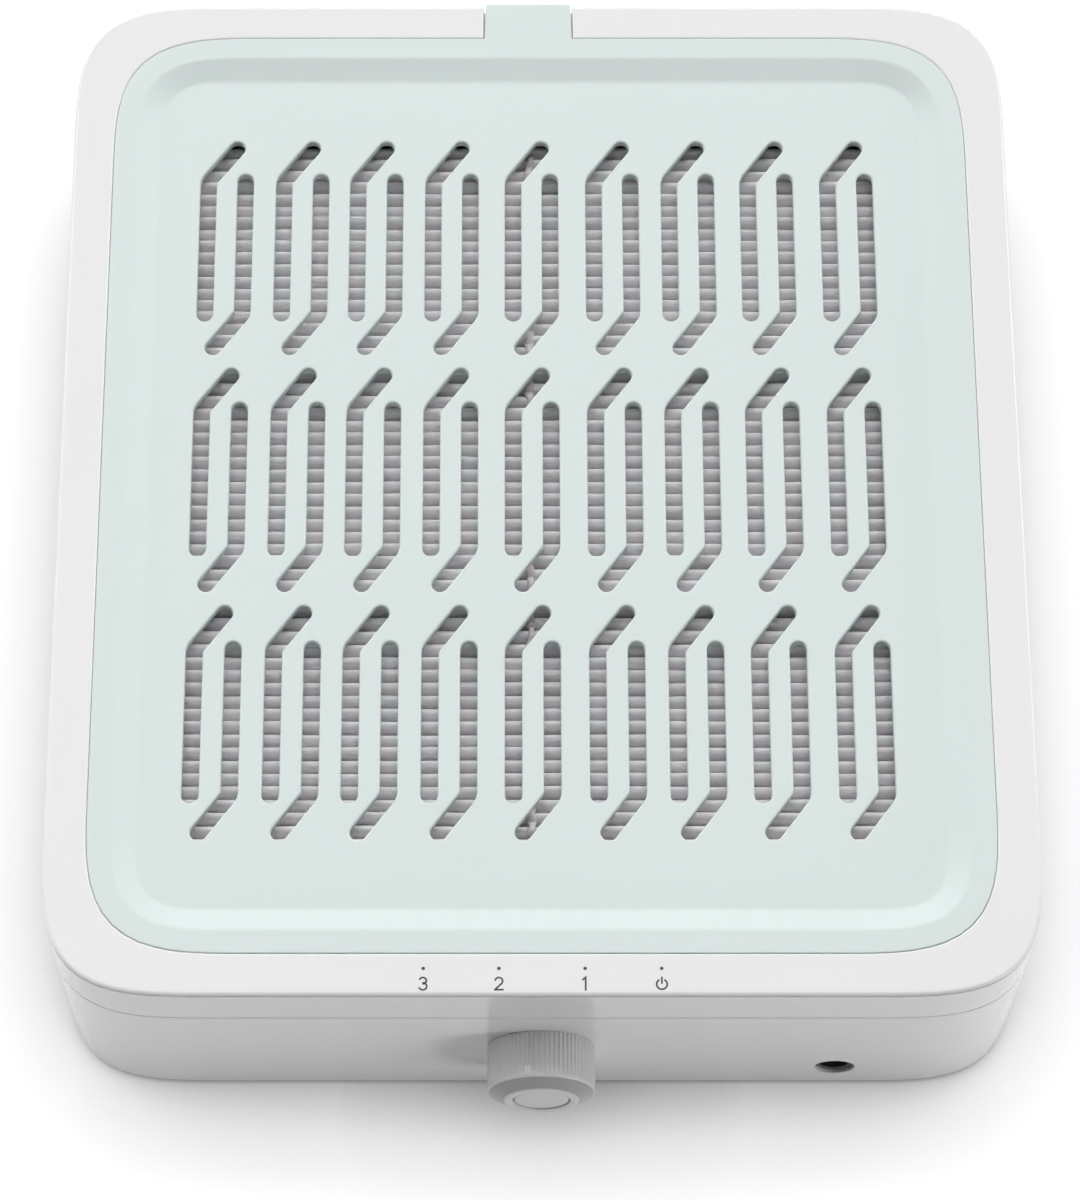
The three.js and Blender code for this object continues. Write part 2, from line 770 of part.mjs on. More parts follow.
function filterSeal() {
  const outer = roundOutline(filterWidth - 2 * fitGap, filterDepth - 2 * fitGap, frameRadius);
  const drop = 2 * fitGap + 2 * sealWidth;
  const inner = roundOutline(filterWidth - drop, filterDepth - drop, frameRadius / 2);
  return atTray(cut(
    prism(outer, sealBottom, sealBottom + sealThickness),
    prism(inner, sealBottom - overrun, sealBottom + sealThickness + overrun),
  ));
}

// One sheet folded to and fro, seen from its side. Each fold is blunt outside and sharp inside.
function pleatOutline() {
  const count = Math.round(mediaDepth / pleatPitch);
  const pitch = mediaDepth / count;
  const blunt = mediaSheet * foldBluntShare;
  const run = (pitch - blunt) / 2;
  const lean = (mediaSheet - blunt / 2) / run;
  const foldDepth = (mediaHeight * lean) / (1 + lean);
  const top = mediaBottom + mediaHeight;
  const end = mediaDepth / 2;
  const lower = [new THREE.Vector2(-end, mediaBottom)];
  const upper = [new THREE.Vector2(-end, mediaBottom + foldDepth)];
  for (let fold = 0; fold < count; fold++) {
    const y = (fold + 0.5 - count / 2) * pitch;
    lower.push(new THREE.Vector2(y - run, mediaBottom));
    lower.push(new THREE.Vector2(y, top - foldDepth));
    lower.push(new THREE.Vector2(y + run, mediaBottom));
    upper.push(new THREE.Vector2(y - blunt / 2, top));
    upper.push(new THREE.Vector2(y + blunt / 2, top));
    upper.push(new THREE.Vector2(y + pitch / 2, mediaBottom + foldDepth));
  }
  lower.push(new THREE.Vector2(end, mediaBottom));
  return [...lower, ...upper.reverse()];
}

const filterMedia = () => atTray(prismX(pleatOutline(), -mediaWidth / 2, mediaWidth / 2));

function filterBead() {
  const low = mediaBottom + mediaHeight + inlayGap;
  const half = mediaDepth / 2 - pleatPitch;
  return atTray(block(beadShift - beadWidth / 2, beadShift + beadWidth / 2, -half, half, low,
    low + beadThickness));
}

// Deck under the pocket: plate with a rim, ears for its screws and a bell-mouthed fan inlet.
function fanDeck() {
  const rimOutline = (inset) =>
    roundOutline(pocketWidth - 2 * inset, pocketDepth - 2 * inset, pocketRadius);
  const half = pocketWidth / 2 + pocketWall;
  const front = coverShift - pocketDepth / 2;
  const wallInside = housingOutline(wall + wallDraft + fitGap);
  const inside = prism(wallInside, deckUnder - overrun, deckTop + overrun);
  const plate = overlap(block(-half, half, front, housingDepth / 2, deckUnder, deckTop), inside);
  const chamber = atTray(cut(
    prism(rimOutline(deckRimInset), deckUnder, lipUnder - fitGap),
    prism(rimOutline(deckRimInset + deckRimWall), deckUnder - overrun, lipUnder + overrun),
  ));
  const ears = corners.flatMap(([sx, sy]) => {
    const y = coverShift + sy * deckScrewSpread;
    const inner = sx * (half - overrun);
    const outer = sx * deckScrewX;
    return [
      rod(deckBossRadius, deckUnder, deckTop, outer, y),
      block(Math.min(inner, outer), Math.max(inner, outer), y - deckBossRadius, y + deckBossRadius,
        deckUnder, deckTop),
    ];
  });
  const lipBottom = deckUnder - inletLipDrop;
  const seatBottom = deckTop - guardSeatDepth;
  const above = deckTop + overrun;
  return cut(
    join(plate, chamber, atFan(rod(inletRadius + inletLipWall, lipBottom, deckTop, 0, 0, wheelSides)),
      ...ears),
    atFan(rod(inletRadius, lipBottom - overrun, above, 0, 0, wheelSides)),
    atFan(rod(guardRadius + fitGap, seatBottom, above, 0, 0, wheelSides)),
    ...corners.map(([sx, sy]) =>
      rod(smallScrewRadius + fitGap, deckUnder - overrun, above, sx * deckScrewX,
        coverShift + sy * deckScrewSpread, holeSides),
    ),
  );
}

// Finger guard: rings and spokes that sit in the inlet's rebate.
function fanGuard() {
  const low = deckTop - guardSeatDepth + fitGap;
  const high = low + guardThickness;
  const inside = guardRadius - guardRimWidth;
  const step = (inside - guardHubRadius) / (guardRings + 1);
  const rings = Array.from({ length: guardRings }, (_, i) => {
    const middle = guardHubRadius + (i + 1) * step;
    return ring(middle - guardRingWidth / 2, middle + guardRingWidth / 2, low, high, postSides);
  });
  const spokes = Array.from({ length: guardSpokes }, (_, i) =>
    block(guardHubRadius / 2, inside + guardRimWidth / 2, -guardSpokeWidth / 2, guardSpokeWidth / 2,
      low, high).rotateZ((i / guardSpokes) * full),
  );
  const rim = ring(inside, guardRadius, low, high, wheelSides);
  return atFan(join(rim, rod(guardHubRadius, low, high), ...rings, ...spokes));
}

// Spiral that widens towards the outlet, filled from its centre, grown by an extra width.
function spiralOutline(extra) {
  return Array.from({ length: spiralSteps + 1 }, (_, i) => {
    const share = i / spiralSteps;
    const turn = tongueAngle + share * (full - tongueAngle);
    const radius = spiralStart + spiralGrowth * share + extra;
    return new THREE.Vector2(radius * Math.cos(turn), radius * Math.sin(turn));
  });
}

function airPath(extra, low, high, back) {
  const duct = block(outletLeft - extra, spiralEnd + extra, 0, back, low, high);
  return join(prism(spiralOutline(extra), low, high), duct);
}

// Outside of the spiral wall, measured from the fan's axis in a direction.
const spiralOutside = (turn) =>
  spiralStart + (spiralGrowth * (turn - tongueAngle)) / (full - tongueAngle) + fanHousingWall;

// Places of the screw ears round the spiral.
function fanEars() {
  return fanEarAngles.map((turn) => {
    const radius = spiralOutside(turn) + fanEarReachShare * fanEarRadius;
    return [fanShiftX + radius * Math.cos(turn), fanShiftY + radius * Math.sin(turn)];
  });
}

// Fan housing: floor, spiral wall, outlet duct and screw ears.
function fanHousing() {
  const back = backFace - fanShiftY - outletGap;
  const top = deckUnder - fitGap;
  const shell = atFan(cut(
    airPath(fanHousingWall, fanBaseZ, top, back),
    airPath(0, fanFloorZ, top + overrun, back + overrun),
  ));
  const ears = fanEars().map(([x, y]) => rod(fanEarRadius, fanBaseZ, fanFloorZ, x, y));
  const holes = fanEars().map(([x, y]) =>
    rod(smallScrewRadius + fitGap, fanBaseZ - overrun, fanFloorZ + overrun, x, y, holeSides));
  return cut(join(shell, ...ears), ...holes, leadHole());
}

// Hole through which the motor's lead leaves the fan.
function leadHole() {
  const half = 2 * leadRadius;
  const outside = spiralEnd + fanHousingWall;
  const hole = block(impellerRadius, outside, -half, half, fanFloorZ, fanFloorZ + 2 * half);
  return atFan(hole.rotateZ(leadAngle));
}

// Impeller: back plate with a hub cup, swept blades and a conical shroud with its eye.
function fanImpeller() {
  const plateTop = impellerZ + impellerWall;
  const hubTop = shroudTop - shroudRise;
  const cupInside = impellerHubRadius - impellerWall;
  const hub = turned(
    [
      [0, hubTop - impellerWall],
      [cupInside, hubTop - impellerWall],
      [cupInside, impellerZ],
      [impellerRadius, impellerZ],
      [impellerRadius, plateTop],
      [impellerHubRadius, plateTop],
      [impellerHubRadius, hubTop - impellerWall],
      [impellerHubRadius - impellerWall, hubTop],
      [0, hubTop],
    ],
    wheelSides,
  );
  const eye = inletRadius + inletLipWall + 2 * fitGap;
  const rimTop = shroudTop - shroudRise;
  const shroud = turned(
    [
      [eye, shroudTop - impellerWall],
      [impellerRadius, rimTop - impellerWall],
      [impellerRadius, rimTop],
      [eye, shroudTop],
      [eye, shroudTop - impellerWall],
    ],
    wheelSides,
  );
  const blades = Array.from({ length: bladeCount }, (_, i) =>
    prism(bladeOutline(), plateTop - impellerWall / 2, rimTop - impellerWall / 2)
      .rotateZ((i / bladeCount) * full),
  );
  return atFan(join(hub, shroud, ...blades));
}

// A blade curves back from the hub to the rim as the wheel turns anticlockwise.
function bladeOutline() {
  const inner = impellerHubRadius + bladeWall;
  const outer = impellerRadius - bladeWall / 2;
  const line = Array.from({ length: bladeSteps + 1 }, (_, i) => {
    const share = i / bladeSteps;
    const radius = inner + (outer - inner) * share;
    const turn = -bladeSweep * share ** bladeCurve;
    return new THREE.Vector2(radius * Math.cos(turn), radius * Math.sin(turn));
  });
  return ribbon(line, bladeWall, 1);
}

// Motor heights follow the impeller's hub.
const cupTop = shroudTop - shroudRise - impellerWall - fitGap;
const motorBaseZ = fanFloorZ + fitGap;
const cupOutside = impellerHubRadius - impellerWall - fitGap;
const cupInside = cupOutside - rotorCupWall;
const magnetOutside = cupInside - fitGap;
const magnetInside = magnetOutside - magnetThickness;
const statorRadius = magnetInside - airGap;
const magnetTop = cupTop - rotorCupWall - 2 * fitGap;
const magnetHeight = magnetHeightShare * (magnetTop - motorBaseZ - motorFlangeThickness);
const magnetBottom = magnetTop - magnetHeight;
const statorMiddle = (magnetTop + magnetBottom) / 2;
const statorHeight = 2 * (cupTop - rotorCupWall - statorMiddle - coilThickness - 2 * fitGap);
const statorBottom = statorMiddle - statorHeight / 2;
const tubeBore = bearingRadius + fitGap;
const tubeTop = cupTop - rotorCupWall - 2 * fitGap;
const statorBore = bearingTubeRadius + fitGap;

function motorBase() {
  const flange = rod(motorFlangeRadius, motorBaseZ, motorBaseZ + motorFlangeThickness, 0, 0, discSides);
  const tube = rod(bearingTubeRadius, motorBaseZ, tubeTop, 0, 0, discSides);
  const bore = rod(tubeBore, motorBaseZ + motorFlangeThickness, tubeTop + overrun, 0, 0, discSides);
  return atFan(cut(join(flange, tube), bore));
}

const bearing = (low) =>
  atFan(ring(shaftRadius + fitGap, bearingRadius, low, low + bearingHeight, holeSides));

function rotorCup() {
  return atFan(turned(
    [
      [0, cupTop - rotorCupWall],
      [cupInside, cupTop - rotorCupWall],
      [cupInside, magnetBottom],
      [cupOutside, magnetBottom],
      [cupOutside, cupTop],
      [0, cupTop],
    ],
  ));
}

// Toothed core: a yoke on the bearing tube, with straight teeth.
function statorCore() {
  const top = statorBottom + statorHeight;
  const yoke = rod(statorBore + statorYoke, statorBottom, top);
  const teeth = Array.from({ length: statorTeeth }, (_, i) =>
    block(0, statorRadius, -statorToothWidth / 2, statorToothWidth / 2, statorBottom, top)
      .rotateZ((i / statorTeeth) * full),
  );
  const hole = rod(statorBore, statorBottom - overrun, top + overrun);
  return atFan(cut(join(yoke, ...teeth), hole));
}

// Coils round the teeth, linked by a ring over the yoke.
function statorWinding() {
  const inner = statorBore + statorYoke + fitGap;
  const low = statorBottom - fitGap;
  const high = statorBottom + statorHeight + fitGap;
  const half = statorToothWidth / 2 + fitGap;
  const outer = Math.sqrt(statorRadius ** 2 - (half + coilThickness) ** 2);
  const turns = (grow, start, end) =>
    Array.from({ length: statorTeeth }, (_, i) =>
      block(start, end, -half - grow, half + grow, low - grow, high + grow)
        .rotateZ((i / statorTeeth) * full),
    );
  const linkBore = inner - statorYoke + fitGap;
  const link = ring(linkBore, inner + coilThickness, high, high + coilThickness, postSides);
  const coils = join(...turns(coilThickness, inner, outer), link);
  return atFan(cut(coils, ...turns(0, 0, outer + overrun)));
}

const rotorMagnet = () => atFan(ring(magnetInside, magnetOutside, magnetBottom, magnetTop));

const motorShaft = () =>
  atFan(rod(shaftRadius, motorBaseZ + motorFlangeThickness + fitGap, cupTop - rotorCupWall - fitGap));

// Knob: ribs that fade towards a chamfer, a seat for the cap and a recess at the back.
function knobBody() {
  const ribbed = (depth, radius) =>
    Array.from({ length: 2 * knobRibs }, (_, i) => {
      const turn = (i / knobRibs) * Math.PI;
      const reach = radius - (i % 2) * depth;
      return new THREE.Vector2(reach * Math.cos(turn), reach * Math.sin(turn));
    });
  const bandEnd = knobLength - knobChamfer;
  const body = loft([
    { outline: ribbed(knobRibDepth, knobRadius), z: knobStandoff },
    { outline: ribbed(knobRibDepth, knobRadius), z: knobStandoff + bandEnd - knobRibFade },
    { outline: ribbed(0, knobRadius), z: knobStandoff + bandEnd },
    { outline: ribbed(0, knobFaceRadius), z: knobStandoff + knobLength },
  ]);
  const face = knobStandoff + knobLength;
  const boreEnd = face - knobFrontWall;
  const bore = dShaft(switchShaftRadius + fitGap, knobStandoff, boreEnd);
  return turnedWithKnob(cut(
    body,
    rod(knobBackBore, knobStandoff - overrun, knobStandoff + knobBackDepth, 0, 0, discSides),
    bore,
    rod(knobCapRadius + knobCapGroove, face - knobCapDepth, face + overrun, 0, 0, wheelSides),
    pointerBlock(inlayGap, overrun),
  ));
}

// Round shaft with a flat on one side.
function dShaft(radius, low, high) {
  const flat = radius * switchFlatShare;
  return cut(
    rod(radius, low, high, 0, 0, discSides),
    block(-radius - overrun, radius + overrun, -radius - overrun, -flat, low - overrun, high + overrun),
  );
}

// Inlay on the crown of the knob that points at the speed marks.
function pointerBlock(grow, proud) {
  const high = knobStandoff + knobLength - knobChamfer;
  return block(-pointerWidth / 2 - grow, pointerWidth / 2 + grow, knobRadius - pointerDepth - grow,
    knobRadius + proud - inlayGap, high - pointerLength - grow, high - inlayGap + grow);
}

function knobCap() {
  const face = knobStandoff + knobLength;
  const seat = face - knobCapDepth + fitGap;
  return turnedWithKnob(rod(knobCapRadius, seat, face - knobCapSink, 0, 0, wheelSides));
}

const knobPointer = () => turnedWithKnob(pointerBlock(0, 0));

// Switch: body with a bushing through the wall, a D shaft, wafer with lugs, washer and nut.
const switchFront = -wall - wallDraft - fitGap;

function switchBody() {
  const back = switchFront - switchDepth;
  const body = join(
    rod(switchRadius, back, switchFront, 0, 0, discSides),
    rod(bushingRadius, switchFront - overrun, bushingReach, 0, 0, discSides),
  );
  const boreEnd = switchFront - switchShaftTail;
  const bore = rod(switchShaftRadius + fitGap, boreEnd, bushingReach + overrun, 0, 0, discSides);
  return onKnobAxis(cut(body, bore));
}

function switchShaft() {
  const low = switchFront - switchShaftTail + fitGap;
  const high = knobStandoff + knobLength - knobFrontWall - fitGap;
  const neck = bushingReach + fitGap;
  const shaft = join(
    rod(switchShaftRadius, low, neck, 0, 0, discSides),
    dShaft(switchShaftRadius, neck - overrun, high),
  );
  return turnedWithKnob(shaft);
}

const switchWasher = () =>
  onKnobAxis(ring(bushingRadius + fitGap, washerRadius, fitGap, fitGap + washerThickness, postSides));

function switchNut() {
  const low = 2 * fitGap + washerThickness;
  const high = low + nutThickness;
  const radius = nutFlats / 2 / Math.cos(Math.PI / nutSides);
  const hole = rod(bushingRadius + fitGap, low - overrun, high + overrun, 0, 0, discSides);
  return onKnobAxis(cut(rod(radius, low, high, 0, 0, nutSides), hole));
}

function switchWafer() {
  const high = switchFront - switchDepth - fitGap;
  const low = high - waferThickness;
  const lugs = Array.from({ length: waferLugs }, (_, i) => {
    const x = (i - (waferLugs - 1) / 2) * waferLugPitch;
    return block(x - waferLugWidth / 2, x + waferLugWidth / 2, -waferLugThickness / 2,
      waferLugThickness / 2, low - waferLugLength, high - waferThickness / 2);
  });
  return onKnobAxis(join(rod(switchRadius, low, high, 0, 0, discSides), ...lugs));
}

// Power socket: body with a nose in the wall's hole, centre pin and contact spring.
const jackFront = -wall - wallDraft - fitGap;
const jackBack = jackFront - jackBodyLength;

function jackBody() {
  const half = jackBodyWidth / 2;
  const body = join(
    block(-half, half, -half, half, jackBack, jackFront),
    rod(jackHoleRadius - fitGap, jackFront - overrun, -jackNoseSink, 0, 0, discSides),
  );
  const boreEnd = jackBack + jackBackWall;
  const bore = rod(jackBoreRadius, boreEnd, overrun, 0, 0, discSides);
  const pinHole = rod(jackPinRadius + fitGap, jackBack - overrun, boreEnd + overrun, 0, 0, holeSides);
  const slotHalf = jackSpringWidth / 2 + fitGap;
  const springSlot = block(-slotHalf, slotHalf, -half - overrun, -jackBoreRadius + overrun / 2, boreEnd,
    jackFront - jackBackWall);
  return onJackAxis(cut(body, bore, pinHole, springSlot));
}

const jackPin = () =>
  onJackAxis(turned(
    [
      [0, jackBack - jackPinTail],
      [jackPinRadius, jackBack - jackPinTail],
      [jackPinRadius, -jackPinSink - jackPinRadius],
      [jackPinRadius / 2, -jackPinSink],
      [0, -jackPinSink],
    ],
    holeSides,
  ));

// Leaf that presses on the plug from below, bowed up in its middle.
function jackSpring() {
  const low = jackBack + jackBackWall + fitGap;
  const high = jackFront - jackBackWall - fitGap;
  const rest = -jackBodyWidth / 2 + jackSpringThickness;
  const bow = -jackBoreRadius;
  const line = [
    new THREE.Vector2(low + jackSpringThickness, rest),
    new THREE.Vector2((low + high) / 2, bow),
    new THREE.Vector2(high - jackSpringThickness, rest),
  ];
  const strip = prismX(ribbon(line, jackSpringThickness, 2), -jackSpringWidth / 2, jackSpringWidth / 2);
  const upright = new THREE.Matrix4().makeBasis(axisX, axisZ, axisY);
  return onJackAxis(strip.applyMatrix4(upright));
}

// Circuit board with its posts, parts and screws.
function boardPosts() {
  const reach = boardWidth / 2 - boardPostInset;
  return [[boardX - reach, boardY], [boardX + reach, boardY]];
}

function circuitBoard() {
  const plate = block(boardX - boardWidth / 2, boardX + boardWidth / 2, boardY - boardDepth / 2,
    boardY + boardDepth / 2, boardZ, boardTop);
  const holes = boardPosts().map(([x, y]) =>
    rod(smallScrewRadius + fitGap, boardZ - overrun, boardTop + overrun, x, y, holeSides));
  return cut(plate, ...holes);
}

// Parts stand on the board at shares of its width and depth.
const onBoard = ([shareX, shareY]) => [boardX + shareX * boardWidth, boardY + shareY * boardDepth];
const partZ = boardTop + fitGap;

function boardCapacitor() {
  const [x, y] = onBoard(capacitorShares);
  return turned(
    [
      [0, partZ],
      [capacitorRadius, partZ],
      [capacitorRadius, partZ + capacitorHeight - capacitorBevel],
      [capacitorRadius - capacitorBevel, partZ + capacitorHeight],
      [0, partZ + capacitorHeight],
    ],
    postSides,
  ).translate(x, y, 0);
}

function boardCoil() {
  const [x, y] = onBoard(coilShares);
  return ring(coilBoreRadius, coilRadius, partZ, partZ + coilHeight, postSides).translate(x, y, 0);
}

function boardRegulator() {
  const [x, y] = onBoard(regulatorShares);
  const left = x - regulatorWidth / 2;
  const right = x + regulatorWidth / 2;
  const back = y + regulatorThickness / 2;
  return join(
    block(left, right, back - regulatorThickness, back, partZ, partZ + regulatorHeight),
    block(left, right, back - regulatorTabThickness, back, partZ, partZ + regulatorTabHeight),
  );
}

const [connectorX, connectorY] = onBoard(connectorShares);

function boardConnector() {
  const box = (inset, low, high) => {
    const halfX = connectorWidth / 2 - inset;
    const halfY = connectorDepth / 2 - inset;
    return block(connectorX - halfX, connectorX + halfX, connectorY - halfY, connectorY + halfY, low, high);
  };
  const top = partZ + connectorHeight;
  return cut(box(0, partZ, top), box(connectorWall, partZ + connectorFloor, top + overrun));
}

// Leads run from the socket, the switch and the motor into the board's connector.
const leadTop = partZ + connectorHeight;
const plugX = (slot) => connectorX + slot * plugSpread;
const plugZ = partZ + connectorFloor + fitGap;

function powerLead() {
  const frontY = -(housingDepth / 2 - draftAt(jackZ));
  const startY = frontY - jackBack + jackPinTail + fitGap;
  const lane = fanShiftY - spiralEnd - leadClearance;
  return lead([
    [jackShift, startY, jackZ],
    [jackShift, startY + leadClearance, jackZ],
    [jackShift / 2, lane, jackZ],
    [plugX(1) + 3 * leadClearance, connectorY, leadTop + leadHump / 2],
    [plugX(1) + leadClearance / 2, connectorY, leadTop + leadHump],
    [plugX(1), connectorY, leadTop],
    [plugX(1), connectorY, plugZ],
  ]);
}

function switchLead() {
  const frontY = -(housingDepth / 2 - draftAt(knobZ));
  const lugEnd = switchFront - switchDepth - fitGap - waferThickness - waferLugLength;
  const startY = frontY - lugEnd + fitGap;
  return lead([
    [0, startY, knobZ],
    [0, startY + leadClearance, knobZ],
    [plugX(0) / 3, startY + leadClearance, knobZ - leadClearance],
    [plugX(0), connectorY, leadTop + 2 * leadHump],
    [plugX(0), connectorY, plugZ],
  ]);
}

function fanLead() {
  const z = fanFloorZ + fitGap + leadRadius;
  const at = (radius) => [
    fanShiftX + radius * Math.cos(leadAngle),
    fanShiftY + radius * Math.sin(leadAngle),
    z,
  ];
  const start = motorFlangeRadius + fitGap;
  return lead([
    at(start),
    at((start + spiralStart) / 2),
    at(spiralStart),
    at(spiralOutside(leadAngle)),
    at(spiralOutside(leadAngle) + leadClearance),
    [plugX(-1), connectorY + 2 * leadClearance, leadTop],
    [plugX(-1), connectorY, leadTop + leadClearance],
    [plugX(-1), connectorY, plugZ],
  ]);
}

// Pan-head screw with its head's underside at a height, pointing up or down.
function screw(x, y, seat, way, radius, length, headRadius, headHeight) {
  const profile = [
    [0, length],
    [radius, length - radius],
    [radius, 0],
    [headRadius, 0],
    [headRadius, -headHeight],
    [0, -headHeight],
  ];
  return turned(profile.map(([r, z]) => [r, seat + way * z]), holeSides).translate(x, y, 0);
}

const smallScrew = (x, y, seat, way, length) =>
  screw(x, y, seat, way, smallScrewRadius, length, smallScrewHeadRadius, smallScrewHeadHeight);

function caseScrew([sx, sy]) {
  const seat = columnTop - columnShoulder - fitGap;
  return screw(sx * caseScrewX, sy * caseScrewY, seat, 1, caseScrewRadius, caseScrewLength,
    caseScrewHeadRadius, caseScrewHeadHeight);
}

const deckScrew = ([sx, sy]) =>
  smallScrew(sx * deckScrewX, coverShift + sy * deckScrewSpread, deckUnder - fitGap, 1, deckScrewLength);

// Rubber foot with a bevelled lower edge, set into its recess.
function rubberFoot([sx, sy]) {
  const top = housingBottom + footRecess - fitGap;
  return turned([
    [0, 0],
    [footRadius - footBevel, 0],
    [footRadius, footBevel],
    [footRadius, top],
    [0, top],
  ], postSides).translate(sx * footX, sy * footY, 0);
}

function group(...pieces) {
  const made = new THREE.Group();
  made.add(...pieces);
  return made;
}

const housing = group(
  piece("upper_shell", upperShell(), whiteShell),
  piece("lower_shell", lowerShell(), whiteShell),
  ...corners.map((corner, i) => piece(`case_screw_${i + 1}`, caseScrew(corner), steel)),
  ...corners.map((corner, i) => piece(`rubber_foot_${i + 1}`, rubberFoot(corner), footRubber)),
);

const cover = group(piece("grille_cover", grilleCover(), mintTray));

const filter = group(
  piece("filter_frame", filterFrame(), frameGrey),
  piece("filter_seal", filterSeal(), foamBlack),
  piece("filter_media", filterMedia(), filterGrey),
  piece("filter_glue_bead", filterBead(), filterGrey),
);

const fan = group(
  piece("fan_deck", fanDeck(), innerPlastic),
  piece("fan_guard", fanGuard(), innerPlastic),
  piece("fan_housing", fanHousing(), innerPlastic),
  piece("fan_impeller", fanImpeller(), impellerPlastic),
  ...corners.map((corner, i) => piece(`deck_screw_${i + 1}`, deckScrew(corner), steel)),
  ...fanEars().map(([x, y], i) =>
    piece(`fan_screw_${i + 1}`, smallScrew(x, y, fanFloorZ + fitGap, -1, fanScrewLength), steel)),
);

const motor = group(
  piece("motor_base", motorBase(), steel),
  piece("motor_bearing_lower", bearing(motorBaseZ + motorFlangeThickness + fitGap), steel),
  piece("motor_bearing_upper", bearing(tubeTop - bearingHeight), steel),
  piece("motor_shaft", motorShaft(), steel),
  piece("rotor_cup", rotorCup(), steel),
  piece("rotor_magnet", rotorMagnet(), ferrite),
  piece("stator_core", statorCore(), steel),
  piece("stator_winding", statorWinding(), copper),
);

const speedSwitch = group(
  piece("knob", knobBody(), knobGrey),
  piece("knob_cap", knobCap(), knobGrey),
  piece("knob_pointer", knobPointer(), whiteShell),
  piece("switch_body", switchBody(), steel),
  piece("switch_shaft", switchShaft(), steel),
  piece("switch_washer", switchWasher(), steel),
  piece("switch_nut", switchNut(), steel),
  piece("switch_wafer", switchWafer(), phenolic),
);

const socket = group(
  piece("dc_jack_body", jackBody(), blackPlastic),
  piece("dc_jack_pin", jackPin(), brassMetal),
  piece("dc_jack_spring", jackSpring(), brassMetal),
);

const electronics = group(
  piece("circuit_board", circuitBoard(), boardGreen),
  piece("board_capacitor", boardCapacitor(), blackPlastic),
  piece("board_coil", boardCoil(), copper),
  piece("board_regulator", boardRegulator(), blackPlastic),
  piece("board_connector", boardConnector(), whiteShell),
  ...boardPosts().map(([x, y], i) =>
    piece(`board_screw_${i + 1}`, smallScrew(x, y, boardTop + fitGap, -1, boardScrewLength), steel)),
  piece("power_lead", powerLead(), leadJacket),
  piece("switch_lead", switchLead(), leadJacket),
  piece("fan_lead", fanLead(), leadJacket),
);

const collector = group(housing, cover, filter, fan, motor, speedSwitch, socket, electronics);
collector.name = "nail_dust_collector";

// The origin lies under the middle of the whole outline, from the knob's face to the tab's tip.
const knobFace = housingDepth / 2 - draftAt(knobZ) + knobStandoff + knobLength;
const tabTip = housingDepth / 2 + tabOverhang;
collector.position.y = (knobFace - tabTip) / 2;

const part = new THREE.Group();
part.add(collector);

export default part;
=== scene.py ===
import json
import math
import random

import bmesh
import bpy
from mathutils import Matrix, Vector
from mathutils.geometry import tessellate_polygon


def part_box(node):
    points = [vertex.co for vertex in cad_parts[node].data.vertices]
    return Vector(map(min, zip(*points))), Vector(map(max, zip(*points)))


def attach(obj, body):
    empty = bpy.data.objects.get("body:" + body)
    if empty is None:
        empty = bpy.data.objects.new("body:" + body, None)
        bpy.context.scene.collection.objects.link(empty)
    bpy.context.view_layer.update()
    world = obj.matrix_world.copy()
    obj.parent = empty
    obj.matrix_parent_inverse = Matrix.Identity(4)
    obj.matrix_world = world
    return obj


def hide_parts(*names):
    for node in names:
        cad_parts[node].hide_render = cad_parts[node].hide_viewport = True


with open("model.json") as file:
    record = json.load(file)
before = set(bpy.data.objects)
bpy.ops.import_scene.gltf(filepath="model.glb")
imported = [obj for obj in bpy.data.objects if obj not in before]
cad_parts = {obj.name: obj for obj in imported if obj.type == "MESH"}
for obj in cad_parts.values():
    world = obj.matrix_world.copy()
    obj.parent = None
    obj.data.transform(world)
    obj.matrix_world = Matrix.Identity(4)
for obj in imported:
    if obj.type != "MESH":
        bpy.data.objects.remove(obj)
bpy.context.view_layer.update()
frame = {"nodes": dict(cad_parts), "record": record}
nodes = frame["nodes"]
scene = bpy.context.scene
rng = random.Random(7)

# Lengths are millimetres. X and Y are measured from the middle of the housing, Z from the table.
TAB_TIP = 131.2
SHIFT_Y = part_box("grille_cover")[1].y * 1000 - TAB_TIP

# Housing. A corner is its reach along the sides and its power, 2 being a circle.
WIDTH, DEPTH = 230.0, 261.0
FRONT_CORNER = (41.0, 3.74)
BACK_CORNER = (37.5, 3.45)
BOTTOM, SEAM, TOP = 2.0, 51.6, 67.97
WALL, DRAFT = 2.4, 0.7
TOP_ROUND, TOP_GROOVE, BOTTOM_ROUND = 0.8, 0.55, 1.2
FLOOR_TOP = BOTTOM + WALL

# Tray with its lift tab
TRAY_SIZE, TRAY_SHIFT = (210.0, 241.6), 0.4
TRAY_CORNER, CORNER_TUCK = (38.0, 3.5), 0.75
TRAY_THICK, TRAY_EDGE = 2.2, 0.3
RIM, SLOPE_RUN, SLOPE_DROP = 5.6, 5.7, 2.2
CREST_ROUND, FOOT_ROUND = 2.4, 2.6
TRAY_UNDER = TOP - TRAY_THICK
SLOT_FLOOR = TOP - SLOPE_DROP
SLOT_UNDER = SLOT_FLOOR - TRAY_THICK
TAB_WIDTH, TAB_X = 21.8, -2.7
EDGE_ROUND = 0.45

